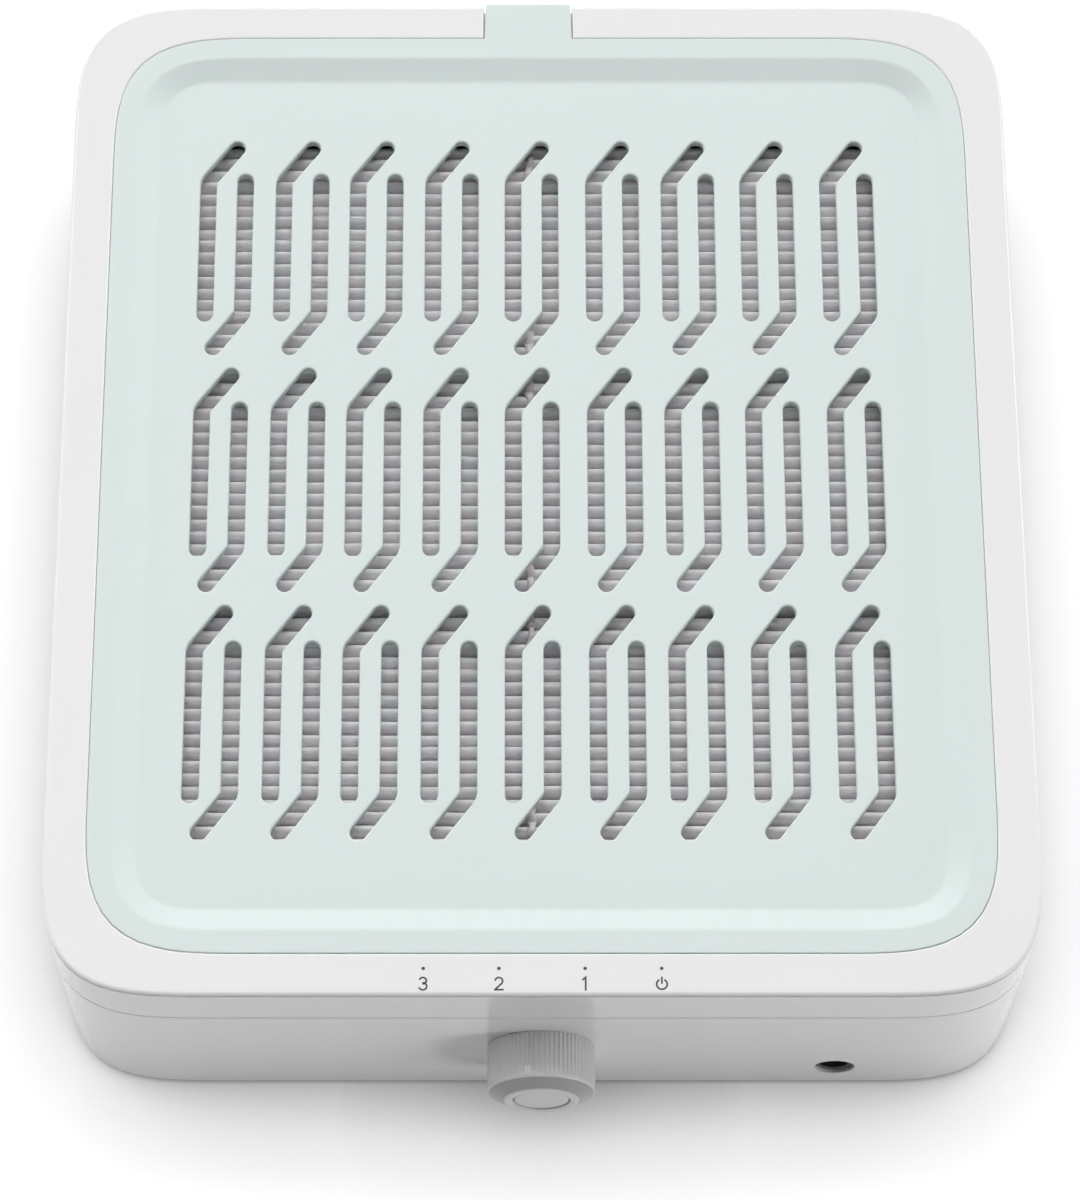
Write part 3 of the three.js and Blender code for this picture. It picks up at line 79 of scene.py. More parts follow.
# Slots, two to a cell: the second is the first turned half round.
SLOT_WIDTH, SLOT_EDGE = 4.0, 0.5
SLOT_LANE, ELBOW_RUN, ELBOW_RISE, ELBOW_ROUND = 4.55, 6.85, 9.2, 2.6
SLOT_SHARES = [-0.411, -0.3115, -0.214, -0.115, -0.0105, 0.0953, 0.1946, 0.2983, 0.4035]
SLOT_ROWS, SLOT_END_MARGIN, SLOT_ROW_GAP = 3, 15.2, 3.6
TRAY_FLOOR = tuple(side - 2 * (RIM + SLOPE_RUN) for side in TRAY_SIZE)
ROW_PITCH = (TRAY_FLOOR[1] - 2 * SLOT_END_MARGIN) / SLOT_ROWS
SLOT_TIP = (ROW_PITCH - SLOT_ROW_GAP - SLOT_WIDTH) / 2
SLOT_LINE = [
    (-SLOT_LANE, ELBOW_RISE - SLOT_TIP), (-SLOT_LANE, SLOT_TIP - ELBOW_RISE),
    (ELBOW_RUN - SLOT_LANE, SLOT_TIP),
]

# Recess for the tray, the well under it and the pocket for the cassette
GAP, LIP = 0.07, 0.5
NOTCH_HALF = TAB_WIDTH / 2 + 0.2
LEDGE_Z, LEDGE_UNDER, RIM_UNDER = 65.5, 63.3, 64.2
WELL_INSET, WELL_TUCK, WELL_FLOOR = 4.15, 4.35, 59.0
POCKET_SIZE, POCKET_CORNER = (182.5, 198.5), 5.0
SILL_WIDTH, SILL_TOP, SKIN = 5.0, 39.4, 2.0

# Cassette with its folded sheet
FILTER_SIZE, FILTER_CORNER = (181.3, 197.3), 4.0
FRAME_BOTTOM, FRAME_TOP, FRAME_WALL, FRAME_ROUND = 41.5, 60.6, 2.2, 0.5
MEDIA_SIZE, MEDIA_SHIFT = (176.3, 187.44), 1.75
MEDIA_BOTTOM, MEDIA_TOP = 43.0, 60.4
PLEATS = 57
PLEAT_PITCH = MEDIA_SIZE[1] / PLEATS
PLEAT_HALF = PLEAT_PITCH / 2 - 0.26
PLEAT_DROP, PLEAT_POWER = 3.8, 2.1

# Knob, measured outwards from the front wall
KNOB_Z, KNOB_R, KNOB_FACE_R = 29.9, 12.58, 8.6
KNOB_BACK, KNOB_FACE, KNOB_CHAMFER = 0.16, 13.3, 2.3
KNOB_RIBS, RIB_DEPTH, STEPS_PER_RIB = 72, 0.25, 8
KNOB_TURN = math.radians(15)
KNOB_HOLLOW_R, KNOB_HOLLOW_END = 8.4, KNOB_BACK + 4.6
SHAFT_R, CAP_R, CAP_SEAT_R = 3.2, 6.4, 6.72

# Socket, exhaust, feet and case screws
SOCKET_X, SOCKET_Z, SOCKET_HOLE_R = 69.8, 13.6, 4.64
EXHAUST_START, EXHAUST_PITCH, EXHAUST_COUNT = 39.715, 8, 6
EXHAUST_Z, EXHAUST_HALF = (14.0, 28.0), 2.3
FEET = [(sx * 88.0, sy * 100.5) for sy in (-1, 1) for sx in (-1, 1)]
CASE_SCREWS = [(sx * 100.0, sy * 115.0) for sy in (-1, 1) for sx in (-1, 1)]
SCREW_SEAT, SCREW_WELL_R = 27.7, 3.2

# Marks over the knob
MARKS_Y, MARK_DOTS_Y = -127.75, -124.1
MARKS_X = (("3", -27.1), ("2", -9.9), ("1", 9.7), ("standby", 27.1))


def metres(v):
    return (v[0] / 1000, (v[1] + SHIFT_Y) / 1000, v[2] / 1000)


def add_object(name, mesh):
    made = bpy.data.objects.new(name, mesh)
    scene.collection.objects.link(made)
    return made


def solid(name, verts, faces):
    """Object of a closed mesh given in millimetres, with its faces turned outwards."""
    mesh = bpy.data.meshes.new(name)
    mesh.from_pydata([metres(v) for v in verts], [], faces)
    bm = bmesh.new()
    bm.from_mesh(mesh)
    bmesh.ops.recalc_face_normals(bm, faces=bm.faces)
    bm.to_mesh(mesh)
    bm.free()
    return add_object(name, mesh)


def finished(obj, body, material, replaces, angle):
    """Smooth shading up to an angle between faces, the finish, and the body the piece rides on."""
    obj.data.shade_smooth()
    obj.data.set_sharp_from_angle(angle=math.radians(angle))
    weighted = obj.modifiers.new("even_normals", "WEIGHTED_NORMAL")
    weighted.keep_sharp = True
    obj.data.materials.clear()
    obj.data.materials.append(material)
    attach(obj, body)
    if replaces:
        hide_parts(*replaces)


def boolean(obj, tool, operation="DIFFERENCE"):
    """Cuts the tool from the object, or joins it, and deletes the tool."""
    mod = obj.modifiers.new("shape", "BOOLEAN")
    mod.object = tool
    mod.operation = operation
    mod.solver = "EXACT"
    bpy.context.view_layer.update()
    graph = bpy.context.evaluated_depsgraph_get()
    mesh = bpy.data.meshes.new_from_object(obj.evaluated_get(graph))
    obj.modifiers.remove(mod)
    obj.data = mesh
    bpy.data.objects.remove(tool)


# Outlines


def corner_points(reach, power, count):
    """Quarter of a superellipse, with its points drawn towards the two ends."""
    points = []
    for i in range(count + 1):
        u = i / count
        turn = math.pi / 2 * u**1.7 / (u**1.7 + (1 - u) ** 1.7)
        points.append((
            reach * abs(math.cos(turn)) ** (2 / power),
            reach * abs(math.sin(turn)) ** (2 / power),
        ))
    return points


def outline(size, front, back, inset=0.0, shift=0.0, back_x=()):
    """Anticlockwise outline with soft corners, the same number of points for any size."""
    w, d = size[0] / 2 - inset, size[1] / 2 - inset
    result = []
    for sx, sy, (reach, power) in ((1, 1, back), (-1, 1, back), (-1, -1, front), (1, -1, front)):
        reach = reach - inset
        quad = corner_points(reach, power, 18)
        if sx * sy < 0:
            quad = quad[::-1]
        result += [(sx * (w - reach + a), sy * (d - reach + b) + shift) for a, b in quad]
        if (sx, sy) == (1, 1):
            result += [(x, d + shift) for x in back_x]
    return result


def housing(inset=0.0, back_x=()):
    return outline((WIDTH, DEPTH), FRONT_CORNER, BACK_CORNER, inset, back_x=back_x)


def tray(inset=0.0, back_x=()):
    """Outline of the tray; its corners get tighter towards the slotted floor."""
    corner = (TRAY_CORNER[0] - CORNER_TUCK * max(0.0, inset - 1.0), TRAY_CORNER[1])
    return outline(TRAY_SIZE, corner, corner, inset, TRAY_SHIFT, back_x)


def well(inset=0.0, back_x=()):
    size = tuple(side - 2 * WELL_INSET for side in TRAY_SIZE)
    corner = (TRAY_CORNER[0] - WELL_TUCK, TRAY_CORNER[1])
    return outline(size, corner, corner, inset, TRAY_SHIFT, back_x)


def rounded(size, radius, inset=0.0, back_x=()):
    """Rectangle with round corners, centred on the tray."""
    return outline(size, (radius, 2.0), (radius, 2.0), inset, TRAY_SHIFT, back_x)


def pocket(inset=0.0, back_x=()):
    return rounded(POCKET_SIZE, POCKET_CORNER, inset, back_x)


def draft(z):
    """How far the wall has drawn in at a height below the seam."""
    return DRAFT * (SEAM - z) / (SEAM - BOTTOM) if z < SEAM else 0.0


def band(path, half, cap_steps=12):
    """Outline of a band of even half-width along a path, with round ends."""
    left, right = [], []
    for i in range(1, len(path) - 1):
        a = Vector(path[i]) - Vector(path[i - 1])
        b = Vector(path[i + 1]) - Vector(path[i])
        na = Vector((-a.y, a.x)).normalized()
        nb = Vector((-b.y, b.x)).normalized()
        mitre = (na + nb).normalized()
        step = mitre * (half / mitre.dot(nb))
        left.append(tuple(Vector(path[i]) + step))
        right.append(tuple(Vector(path[i]) - step))

    def cap(centre, way):
        base = math.atan2(way.y, way.x) - math.pi / 2
        return [
            (centre[0] + half * math.cos(base + math.pi * k / cap_steps),
             centre[1] + half * math.sin(base + math.pi * k / cap_steps))
            for k in range(cap_steps + 1)
        ]

    end = cap(path[-1], Vector(path[-1]) - Vector(path[-2]))
    start = cap(path[0], Vector(path[0]) - Vector(path[1]))
    return right + end + left[::-1] + start


def curve(cx, cy, rx, ry, start, end, steps=14):
    """Points along an arc of an ellipse between two angles in degrees."""
    return [
        (cx + rx * math.cos(math.radians(start + (end - start) * i / steps)),
         cy + ry * math.sin(math.radians(start + (end - start) * i / steps)))
        for i in range(steps + 1)
    ]


def rounding(radius, angles):
    """(inset, drop) of a rounded edge at some angles: 0 ends at the wall and 90 at the top."""
    return [
        (radius * (1 - math.cos(math.radians(a))), radius * (1 - math.sin(math.radians(a))))
        for a in angles
    ]


# Meshes as (verts, faces)


def strip(a, b, count):
    """Quads between two rings whose first vertices are a and b."""
    return [(a + i, a + (i + 1) % count, b + (i + 1) % count, b + i) for i in range(count)]


def loft(sections, closed=False, cap=True):
    """Skin through equal outlines of (points, z), z being a number or one per point."""
    count = len(sections[0][0])
    verts, faces = [], []
    for points, z in sections:
        heights = z if isinstance(z, (list, tuple)) else [z] * count
        verts += [(p[0], p[1], h) for p, h in zip(points, heights)]
    rings = len(sections)
    for s in range(rings if closed else rings - 1):
        faces += strip(s * count, ((s + 1) % rings) * count, count)
    if cap and not closed:
        faces.append(tuple(range(count))[::-1])
        faces.append(tuple(range((rings - 1) * count, rings * count)))
    return verts, faces


def lathe(profile, sides=64, centre=(0.0, 0.0)):
    """Solid turned about Z from (radius, z) points that start and end on the axis."""
    verts, faces = [], []
    for r, z in profile[1:-1]:
        for i in range(sides):
            t = 2 * math.pi * i / sides
            verts.append((centre[0] + r * math.cos(t), centre[1] + r * math.sin(t), z))
    last = len(profile) - 3
    for s in range(last):
        faces += strip(s * sides, (s + 1) * sides, sides)
    for tip, ring in ((profile[0], 0), (profile[-1], last)):
        verts.append((centre[0], centre[1], tip[1]))
        faces += [
            (ring * sides + i, ring * sides + (i + 1) % sides, len(verts) - 1) for i in range(sides)
        ]
    return verts, faces


def bar(outlines):
    """Straight bar between two equal outlines of 3-D points."""
    first, second = outlines
    n = len(first)
    faces = [(k, (k + 1) % n, (k + 1) % n + n, k + n) for k in range(n)]
    return first + second, faces + [tuple(range(n)), tuple(range(n, 2 * n))]


def merged(parts):
    verts, faces = [], []
    for part_verts, part_faces in parts:
        base = len(verts)
        verts += part_verts
        faces += [tuple(i + base for i in face) for face in part_faces]
    return verts, faces


def to_front(verts, x, z, turn=0.0):
    """Places points built along +Z on the front wall, +Z pointing out, turned about its axis."""
    y0 = -(DEPTH / 2 - draft(z))
    c, s = math.cos(turn), math.sin(turn)
    return [(x + (a * c - b * s), y0 - h, z + (a * s + b * c)) for a, b, h in verts]


def front_lathe(profile, x, z, sides=64):
    verts, faces = lathe(profile, sides)
    return to_front(verts, x, z), faces


# Materials


class Nodes:
    """Short way to build a procedural material on a Principled shader."""

    def __init__(self, name):
        self.material = bpy.data.materials.new(name)
        self.material.use_nodes = True
        self.tree = self.material.node_tree
        self.shader = self.tree.nodes["Principled BSDF"]
        self.place = self.tree.nodes.new("ShaderNodeTexCoord").outputs["Object"]

    def new(self, kind, **inputs):
        node = self.tree.nodes.new(kind)
        for key, value in inputs.items():
            self.put(node.inputs[key.replace("_", " ")], value)
        return node

    def put(self, socket, value):
        if isinstance(value, bpy.types.NodeSocket):
            self.tree.links.new(value, socket)
        else:
            socket.default_value = value

    def set(self, name, value):
        self.put(self.shader.inputs[name], value)

    def stretched(self, scale):
        node = self.new("ShaderNodeMapping", Vector=self.place)
        node.inputs["Scale"].default_value = scale
        return node.outputs["Vector"]

    def noise(self, scale, detail=3.0, vector=None, rough=0.5):
        node = self.new("ShaderNodeTexNoise", Scale=scale, Detail=detail, Roughness=rough,
                        Vector=vector or self.place)
        return node.outputs["Fac"]

    def remap(self, value, from_low, from_high, low, high):
        """Linear change of range, held at both ends."""
        node = self.new("ShaderNodeMapRange", Value=value, From_Min=from_low, From_Max=from_high,
                        To_Min=low, To_Max=high)
        return node.outputs["Result"]

    def spread(self, value, low, high):
        """Stretches the usual span of a noise to a range."""
        return self.remap(value, 0.2, 0.8, low, high)

    def mix(self, factor, a, b):
        node = self.new("ShaderNodeMix")
        node.data_type = "RGBA"
        self.put(node.inputs[0], factor)
        self.put(node.inputs[6], a)
        self.put(node.inputs[7], b)
        return node.outputs[2]

    def math(self, operation, a, b):
        node = self.tree.nodes.new("ShaderNodeMath")
        node.operation = operation
        self.put(node.inputs[0], a)
        self.put(node.inputs[1], b)
        return node.outputs[0]

    def bump(self, height, distance, strength=1.0):
        node = self.new("ShaderNodeBump", Height=height, Strength=strength)
        node.inputs["Distance"].default_value = distance
        self.put(self.shader.inputs["Normal"], node.outputs["Normal"])


def rgb(r, g, b):
    """Linear colour of display values from 0 to 255."""
    def linear(v):
        v /= 255
        return v / 12.92 if v <= 0.04045 else ((v + 0.055) / 1.055) ** 2.4
    return (linear(r), linear(g), linear(b), 1.0)


def shade(color, factor):
    return (color[0] * factor, color[1] * factor, color[2] * factor, 1.0)


def moulded(name, color, rough, grain, bump, vary, coat=0.0, specular=0.5):
    """Moulded plastic: faint cloudy tone, fine spark grain and uneven gloss."""
    m = Nodes(name)
    cloud = m.spread(m.noise(14.0, 1.0), 0.0, 1.0)
    m.set("Base Color", m.mix(cloud, shade(color, 1 - vary), shade(color, 1 + vary / 2)))
    m.set("Roughness", m.spread(m.noise(30.0, 0.0), rough - 0.015, rough + 0.015))
    m.set("Specular IOR Level", specular)
    m.set("Coat Weight", coat)
    m.set("Coat Roughness", 0.12)
    m.bump(m.noise(grain, 1.0), bump)
    return m.material


def metal(name, color, rough):
    """Metal with faint streaks in tone and gloss."""
    m = Nodes(name)
    lines = m.noise(700.0, 4.0, m.stretched((1.0, 1.0, 1.0)))
    m.set("Base Color", m.mix(lines, shade(color, 0.88), color))
    m.set("Metallic", 1.0)
    m.set("Roughness", m.spread(lines, rough - 0.08, rough + 0.1))
    m.bump(lines, 0.00001)
    return m.material


def fleece():
    """Non-woven sheet: pale and warm patches, fine fibres and a soft nap."""
    m = Nodes("fleece")
    patches = m.spread(m.noise(120.0, 4.0), 0.0, 1.0)
    base = m.mix(patches, rgb(252, 250, 255), rgb(254, 250, 249))
    fibres = m.noise(2600.0, 5.0, m.stretched((0.35, 1.0, 1.0)), 0.65)
    m.set("Base Color", m.mix(m.spread(fibres, 0.0, 0.2), base, rgb(222, 219, 223)))
    m.set("Roughness", m.spread(fibres, 0.85, 1.0))
    m.set("Sheen Weight", 0.25)
    m.set("Sheen Roughness", 0.5)
    m.bump(fibres, 0.00012, 0.7)
    return m.material


def foam():
    """Dark foam with open cells."""
    m = Nodes("foam")
    cells = m.new("ShaderNodeTexVoronoi", Scale=1400.0, Vector=m.place).outputs["Distance"]
    m.set("Base Color", m.mix(cells, rgb(26, 26, 28), rgb(64, 64, 66)))
    m.set("Roughness", m.spread(cells, 0.85, 1.0))
    m.bump(cells, 0.0003)
    return m.material


def laminate():
    """Green circuit board with a faint weave."""
    m = Nodes("board_laminate")
    weave = m.noise(1500.0, 2.0, m.stretched((1.0, 0.2, 1.0)))
    m.set("Base Color", m.mix(m.spread(weave, 0.0, 1.0), rgb(30, 92, 58), rgb(44, 118, 76)))
    m.set("Roughness", m.spread(weave, 0.3, 0.5))
    m.bump(weave, 0.00002)
    return m.material


def windings():
    """Enamelled copper wire in close turns."""
    m = Nodes("windings")
    wave = m.new("ShaderNodeTexWave", Scale=900.0, Distortion=1.5, Vector=m.place)
    wave.bands_direction = "Z"
    turns = wave.outputs["Fac"]
    m.set("Base Color", m.mix(turns, rgb(112, 52, 26), rgb(196, 118, 74)))
    m.set("Metallic", 0.8)
    m.set("Roughness", m.spread(turns, 0.25, 0.45))
    m.bump(turns, 0.0001)
    return m.material


WHITE = moulded("white_shell", rgb(240, 240, 240), 0.12, 1500.0, 0.000002, 0.008)
MINT = moulded("mint_tray", rgb(221, 232, 230), 0.48, 1500.0, 0.000004, 0.012)
KNOB = moulded("knob_grey", rgb(217, 217, 216), 0.32, 1500.0, 0.000008, 0.02)
# Painted shade: a darker grey for the knob's chamfer, which gets little light from the front and top.
KNOB_CHAMFER_PAINTED_SHADE = moulded("knob_chamfer_painted_shade", rgb(166, 167, 168), 0.34, 1500.0, 0.000008, 0.02)
MARKS = moulded("mark_ink", rgb(66, 68, 70), 0.5, 1500.0, 0.000005, 0.05)
# The pointer mark is real; its near-white tone also paints a highlight at the front end of the ribs.
POINTER_AND_PAINTED_HIGHLIGHT = moulded("pointer_white", rgb(246, 246, 245), 0.3, 1500.0, 0.000008, 0.01)
FLEECE = fleece()
FRAME_GREY = moulded("frame_grey", rgb(150, 152, 154), 0.55, 700.0, 0.00004, 0.04)
GLUE = moulded("glue", rgb(222, 214, 216), 0.4, 500.0, 0.00008, 0.05, coat=0.2)
FOAM = foam()
INNER = moulded("inner_plastic", rgb(62, 65, 68), 0.5, 800.0, 0.00003, 0.06)
IMPELLER = moulded("impeller_plastic", rgb(36, 38, 41), 0.42, 800.0, 0.00002, 0.06)
BLACK = moulded("black_plastic", rgb(30, 31, 33), 0.4, 900.0, 0.00003, 0.06)
NYLON = moulded("white_nylon", rgb(226, 225, 219), 0.45, 900.0, 0.00003, 0.03)
JACKET = moulded("lead_jacket", rgb(38, 39, 42), 0.5, 900.0, 0.00004, 0.08)
RUBBER = moulded("foot_rubber", rgb(82, 84, 87), 0.85, 600.0, 0.00008, 0.08, specular=0.3)
PHENOLIC = moulded("phenolic", rgb(146, 98, 58), 0.55, 500.0, 0.00005, 0.12)
FERRITE = moulded("ferrite", rgb(76, 76, 80), 0.6, 900.0, 0.00006, 0.08)
STEEL = metal("steel", rgb(200, 203, 206), 0.3)
BRASS = metal("brass", rgb(205, 170, 90), 0.28)
COPPER = windings()
BOARD = laminate()

BY_SLOT = {
    "white_shell": WHITE, "mint_tray": MINT, "knob_grey": KNOB, "pointer_white": POINTER_AND_PAINTED_HIGHLIGHT,
    "filter_fleece": FLEECE, "filter_frame": FRAME_GREY, "seal_foam": FOAM, "glue": GLUE,
    "inner_plastic": INNER, "impeller_plastic": IMPELLER, "steel": STEEL, "brass": BRASS,
    "copper_wire": COPPER, "ferrite": FERRITE, "board_laminate": BOARD, "phenolic": PHENOLIC,
    "black_plastic": BLACK, "white_nylon": NYLON, "lead_jacket": JACKET, "foot_rubber": RUBBER,
}


def finish_solids():
    """Gives every solid of the frame the finish of its slot."""
    for entry in frame["record"]["subparts"]:
        mesh = nodes[entry["node"]].data
        mesh.materials.clear()
        mesh.materials.append(BY_SLOT[entry["material_slot"]])


# Upper shell


def edge_stations(half):
    """Positions along the back edge that give a step at each side of the tab a rounded rim."""
    steps = rounding(EDGE_ROUND, (0, 22, 45, 67, 90))
    offsets = [1.2] + [drop for inset, drop in steps] + [-0.03, -0.8]
    right = [TAB_X + half + offset for offset in offsets]
    left = [2 * TAB_X - x for x in right][::-1]
    return right + left


def notch_drop(x):
    """How far the rim is lowered at a place along the back edge."""
    d = abs(x - TAB_X) - NOTCH_HALF
    if d < -0.01:
        return TOP - LEDGE_Z
    if d >= EDGE_ROUND:
        return 0.0
    return EDGE_ROUND - math.sqrt(max(0.0, EDGE_ROUND**2 - (EDGE_ROUND - d) ** 2))


def notched(shape, inset, z, lowest=0.0):
    """Section of the upper shell that dips where the tab passes the back edge."""
    points = shape(inset, edge_stations(NOTCH_HALF))
    heights = []
    for x, y in points:
        drop = notch_drop(x) if y > DEPTH / 4 else 0.0
        heights.append(max(z - drop, lowest))
    return points, heights


def upper_shell():
    """One skin: up the outer wall, over the rim, down into the pocket and back inside."""
    xs = edge_stations(NOTCH_HALF)
    edge = SEAM + 0.3
    hem = [(0.5, edge), (0.18, edge + 0.04), (0.04, edge + 0.16), (0.0, edge + 0.5)]
    sections = [(housing(inset, xs), z) for inset, z in hem]

    groove = TOP - TOP_ROUND - TOP_GROOVE
    groove_top = groove + TOP_GROOVE - 0.04
    wall = [(0.0, groove - 0.3), (0.0, groove - 0.06), (0.06, groove), (TOP_GROOVE, groove),
            (TOP_GROOVE, groove_top), (0.04, groove_top)]
    wall += [(inset, TOP - drop) for inset, drop in rounding(TOP_ROUND, (0, 18, 36, 54, 72, 90))]
    wall.append((TOP_ROUND + 0.4, TOP))
    sections += [notched(housing, inset, z) for inset, z in wall]

    sections.append(notched(tray, -GAP - LIP - 0.3, TOP))
    for inset, drop in rounding(LIP, (90, 70, 50, 30, 10, 0)):
        sections.append(notched(tray, -GAP - inset, TOP - drop, LEDGE_Z))

    inside = [
        (tray, -GAP, LEDGE_Z), (well, 0.4, LEDGE_Z), (well, 0.6, LEDGE_Z - 0.2),
        (well, 0.6, WELL_FLOOR + 0.6), (well, 1.0, WELL_FLOOR),
        (pocket, -0.8, WELL_FLOOR), (pocket, -0.2, WELL_FLOOR - 0.2), (pocket, 0.0, WELL_FLOOR - 0.8),
        (pocket, 0.0, SILL_TOP), (pocket, SILL_WIDTH, SILL_TOP), (pocket, SILL_WIDTH, SILL_TOP - SKIN),
        (pocket, -SKIN, SILL_TOP - SKIN), (pocket, -SKIN, WELL_FLOOR - SKIN),
        (well, -SKIN, WELL_FLOOR - SKIN), (well, -SKIN, LEDGE_UNDER),
        (tray, -GAP - WALL, LEDGE_UNDER), (tray, -GAP - WALL, RIM_UNDER),
        (housing, WALL, RIM_UNDER), (housing, WALL, edge),
    ]
    sections += [(shape(inset, xs), z) for shape, inset, z in inside]
    body = solid("upper_housing", *loft(sections, closed=True))
    finished(body, "housing", WHITE, ("upper_shell",), 32)


# Lower shell


def lower_shell():
    """Tub with screw columns; wells, socket hole, bush hole and exhaust slots are cut from it."""
    sections = []
    for inset, rise in rounding(BOTTOM_ROUND, (90, 70, 50, 30, 10, 0)):
        z = BOTTOM + rise
        sections.append((housing(inset + draft(z)), z))
    tongue = [
        (draft(SEAM - 1), SEAM - 1.0), (0.04, SEAM - 0.3), (0.2, SEAM - 0.06), (0.5, SEAM),
        (WALL / 2, SEAM), (WALL / 2, SEAM + 2.0), (WALL, SEAM + 2.0), (WALL + DRAFT, FLOOR_TOP),
    ]
    sections += [(housing(inset), z) for inset, z in tongue]
    body = solid("lower_housing", *loft(sections))
    columns = []
    for place in CASE_SCREWS:
        profile = [(0, BOTTOM + 1), (5.2, BOTTOM + 1), (5.2, 34.0), (0, 34.0)]
        columns.append(lathe(profile, 40, place))
    boolean(body, solid("columns", *merged(columns)), "UNION")
    boolean(body, solid("tools", *merged(lower_shell_tools())))
    finished(body, "housing", WHITE, ("lower_shell",), 28)


def lower_shell_tools():
    tools = []
    for place in CASE_SCREWS:
        profile = [(0, BOTTOM - 1), (4.6, BOTTOM - 1), (3.7, BOTTOM), (SCREW_WELL_R, BOTTOM + 0.5),
                   (SCREW_WELL_R, SCREW_SEAT + 0.3), (0, SCREW_SEAT + 0.3)]
        tools.append(lathe(profile, 40, place))
    for place in FEET:
        profile = [(0, BOTTOM - 1), (10.4, BOTTOM - 1), (9.6, BOTTOM), (9.3, BOTTOM + 0.3),
                   (9.3, BOTTOM + 1.0), (0, BOTTOM + 1.0)]
        tools.append(lathe(profile, 64, place))
    inner = -WALL - 3
    hole = [(0, inner), (SOCKET_HOLE_R, inner), (SOCKET_HOLE_R, -0.35), (SOCKET_HOLE_R + 0.11, -0.12),
            (SOCKET_HOLE_R + 0.36, 0.03), (SOCKET_HOLE_R + 1.36, 1.0), (0, 1.0)]
    tools.append(front_lathe(hole, SOCKET_X, SOCKET_Z))
    bush = [(0, inner), (4.8, inner), (4.8, 1.0), (0, 1.0)]
    tools.append(front_lathe(bush, 0.0, KNOB_Z, 48))
    return tools + [exhaust_tool(EXHAUST_START + EXHAUST_PITCH * i) for i in range(EXHAUST_COUNT)]


def exhaust_tool(x):
    """Upright slot through the back wall with a chamfered mouth."""
    face = DEPTH / 2 - 0.45
    path = [(x, EXHAUST_Z[0]), (x, EXHAUST_Z[1])]
    steps = [(0, face - 6), (0, face - 0.35), (0.12, face - 0.1), (1.2, face + 1.0)]
    verts, faces = loft([(band(path, EXHAUST_HALF + grow, 10), y) for grow, y in steps])
    return [(a, c, b) for a, b, c in verts], faces


# Tray


def eased(path, steps=4):
    """The path with its bend drawn round."""
    a, b, c = (Vector(p) for p in path)
    back, on = (a - b).normalized(), (c - b).normalized()
    reach = ELBOW_ROUND * math.tan((math.pi - back.angle(on)) / 2) * 1.1
    p0, p2 = b + back * reach, b + on * reach
    bend = []
    for i in range(steps + 1):
        t = i / steps
        bend.append(tuple(p0 * (1 - t) ** 2 + b * 2 * t * (1 - t) + p2 * t**2))
    return [tuple(a)] + bend + [tuple(c)]


def slot_paths():
    paths = []
    for row in range(SLOT_ROWS):
        y = (row - (SLOT_ROWS - 1) / 2) * ROW_PITCH + TRAY_SHIFT
        for share in SLOT_SHARES:
            for turn in (1, -1):
                line = [(share * TRAY_FLOOR[0] + turn * u, y + turn * v) for u, v in SLOT_LINE]
                paths.append(eased(line))
    return paths


def slot_rings(path):
    """Sections down one slot: rounded edge, plain wall and a small flare underneath."""
    half = SLOT_WIDTH / 2
    rings = [
        (band(path, half + grow), SLOT_FLOOR - drop)
        for grow, drop in rounding(SLOT_EDGE, (90, 68, 45, 22, 0))
    ]
    return rings + [(band(path, half), SLOT_UNDER + 0.15), (band(path, half + 0.15), SLOT_UNDER)]


def tray_profile():
    """(inset, z) from the lower edge over the rim and down the slope to the floor."""
    steps = [(0.5, TRAY_UNDER), (0.15, TRAY_UNDER + 0.08), (0.0, TRAY_UNDER + 0.35)]
    steps += [(inset, TOP - drop) for inset, drop in rounding(TRAY_EDGE, (0, 22, 45, 67, 90))]
    slope = math.atan2(SLOPE_DROP, SLOPE_RUN)
    start = RIM - CREST_ROUND * math.tan(slope / 2)
    end = RIM + SLOPE_RUN + FOOT_ROUND * math.tan(slope / 2)
    steps += [(0.8, TOP), (start - 0.3, TOP)]
    for k in range(6):
        a = slope * k / 5
        steps.append((start + CREST_ROUND * math.sin(a), TOP - CREST_ROUND * (1 - math.cos(a))))
    for k in range(6):
        a = slope * (1 - k / 5)
        steps.append((end - FOOT_ROUND * math.sin(a), SLOT_FLOOR + FOOT_ROUND * (1 - math.cos(a))))
    return steps + [(end + 0.3, SLOT_FLOOR)]


def tabbed(inset):
    """Outline of the tray, with the tab drawn out of the back edge of its outer rings."""
    half = TAB_WIDTH / 2 - EDGE_ROUND
    reach = TAB_TIP - (TRAY_SIZE[1] / 2 + TRAY_SHIFT)
    points = []
    for x, y in tray(inset, edge_stations(half)):
        d = abs(x - TAB_X) - half
        if y > 0 and d < EDGE_ROUND and inset < 2:
            y += reach * (1.0 if d <= 0 else math.sqrt(1 - d / EDGE_ROUND))
        points.append((x, y))
    return points


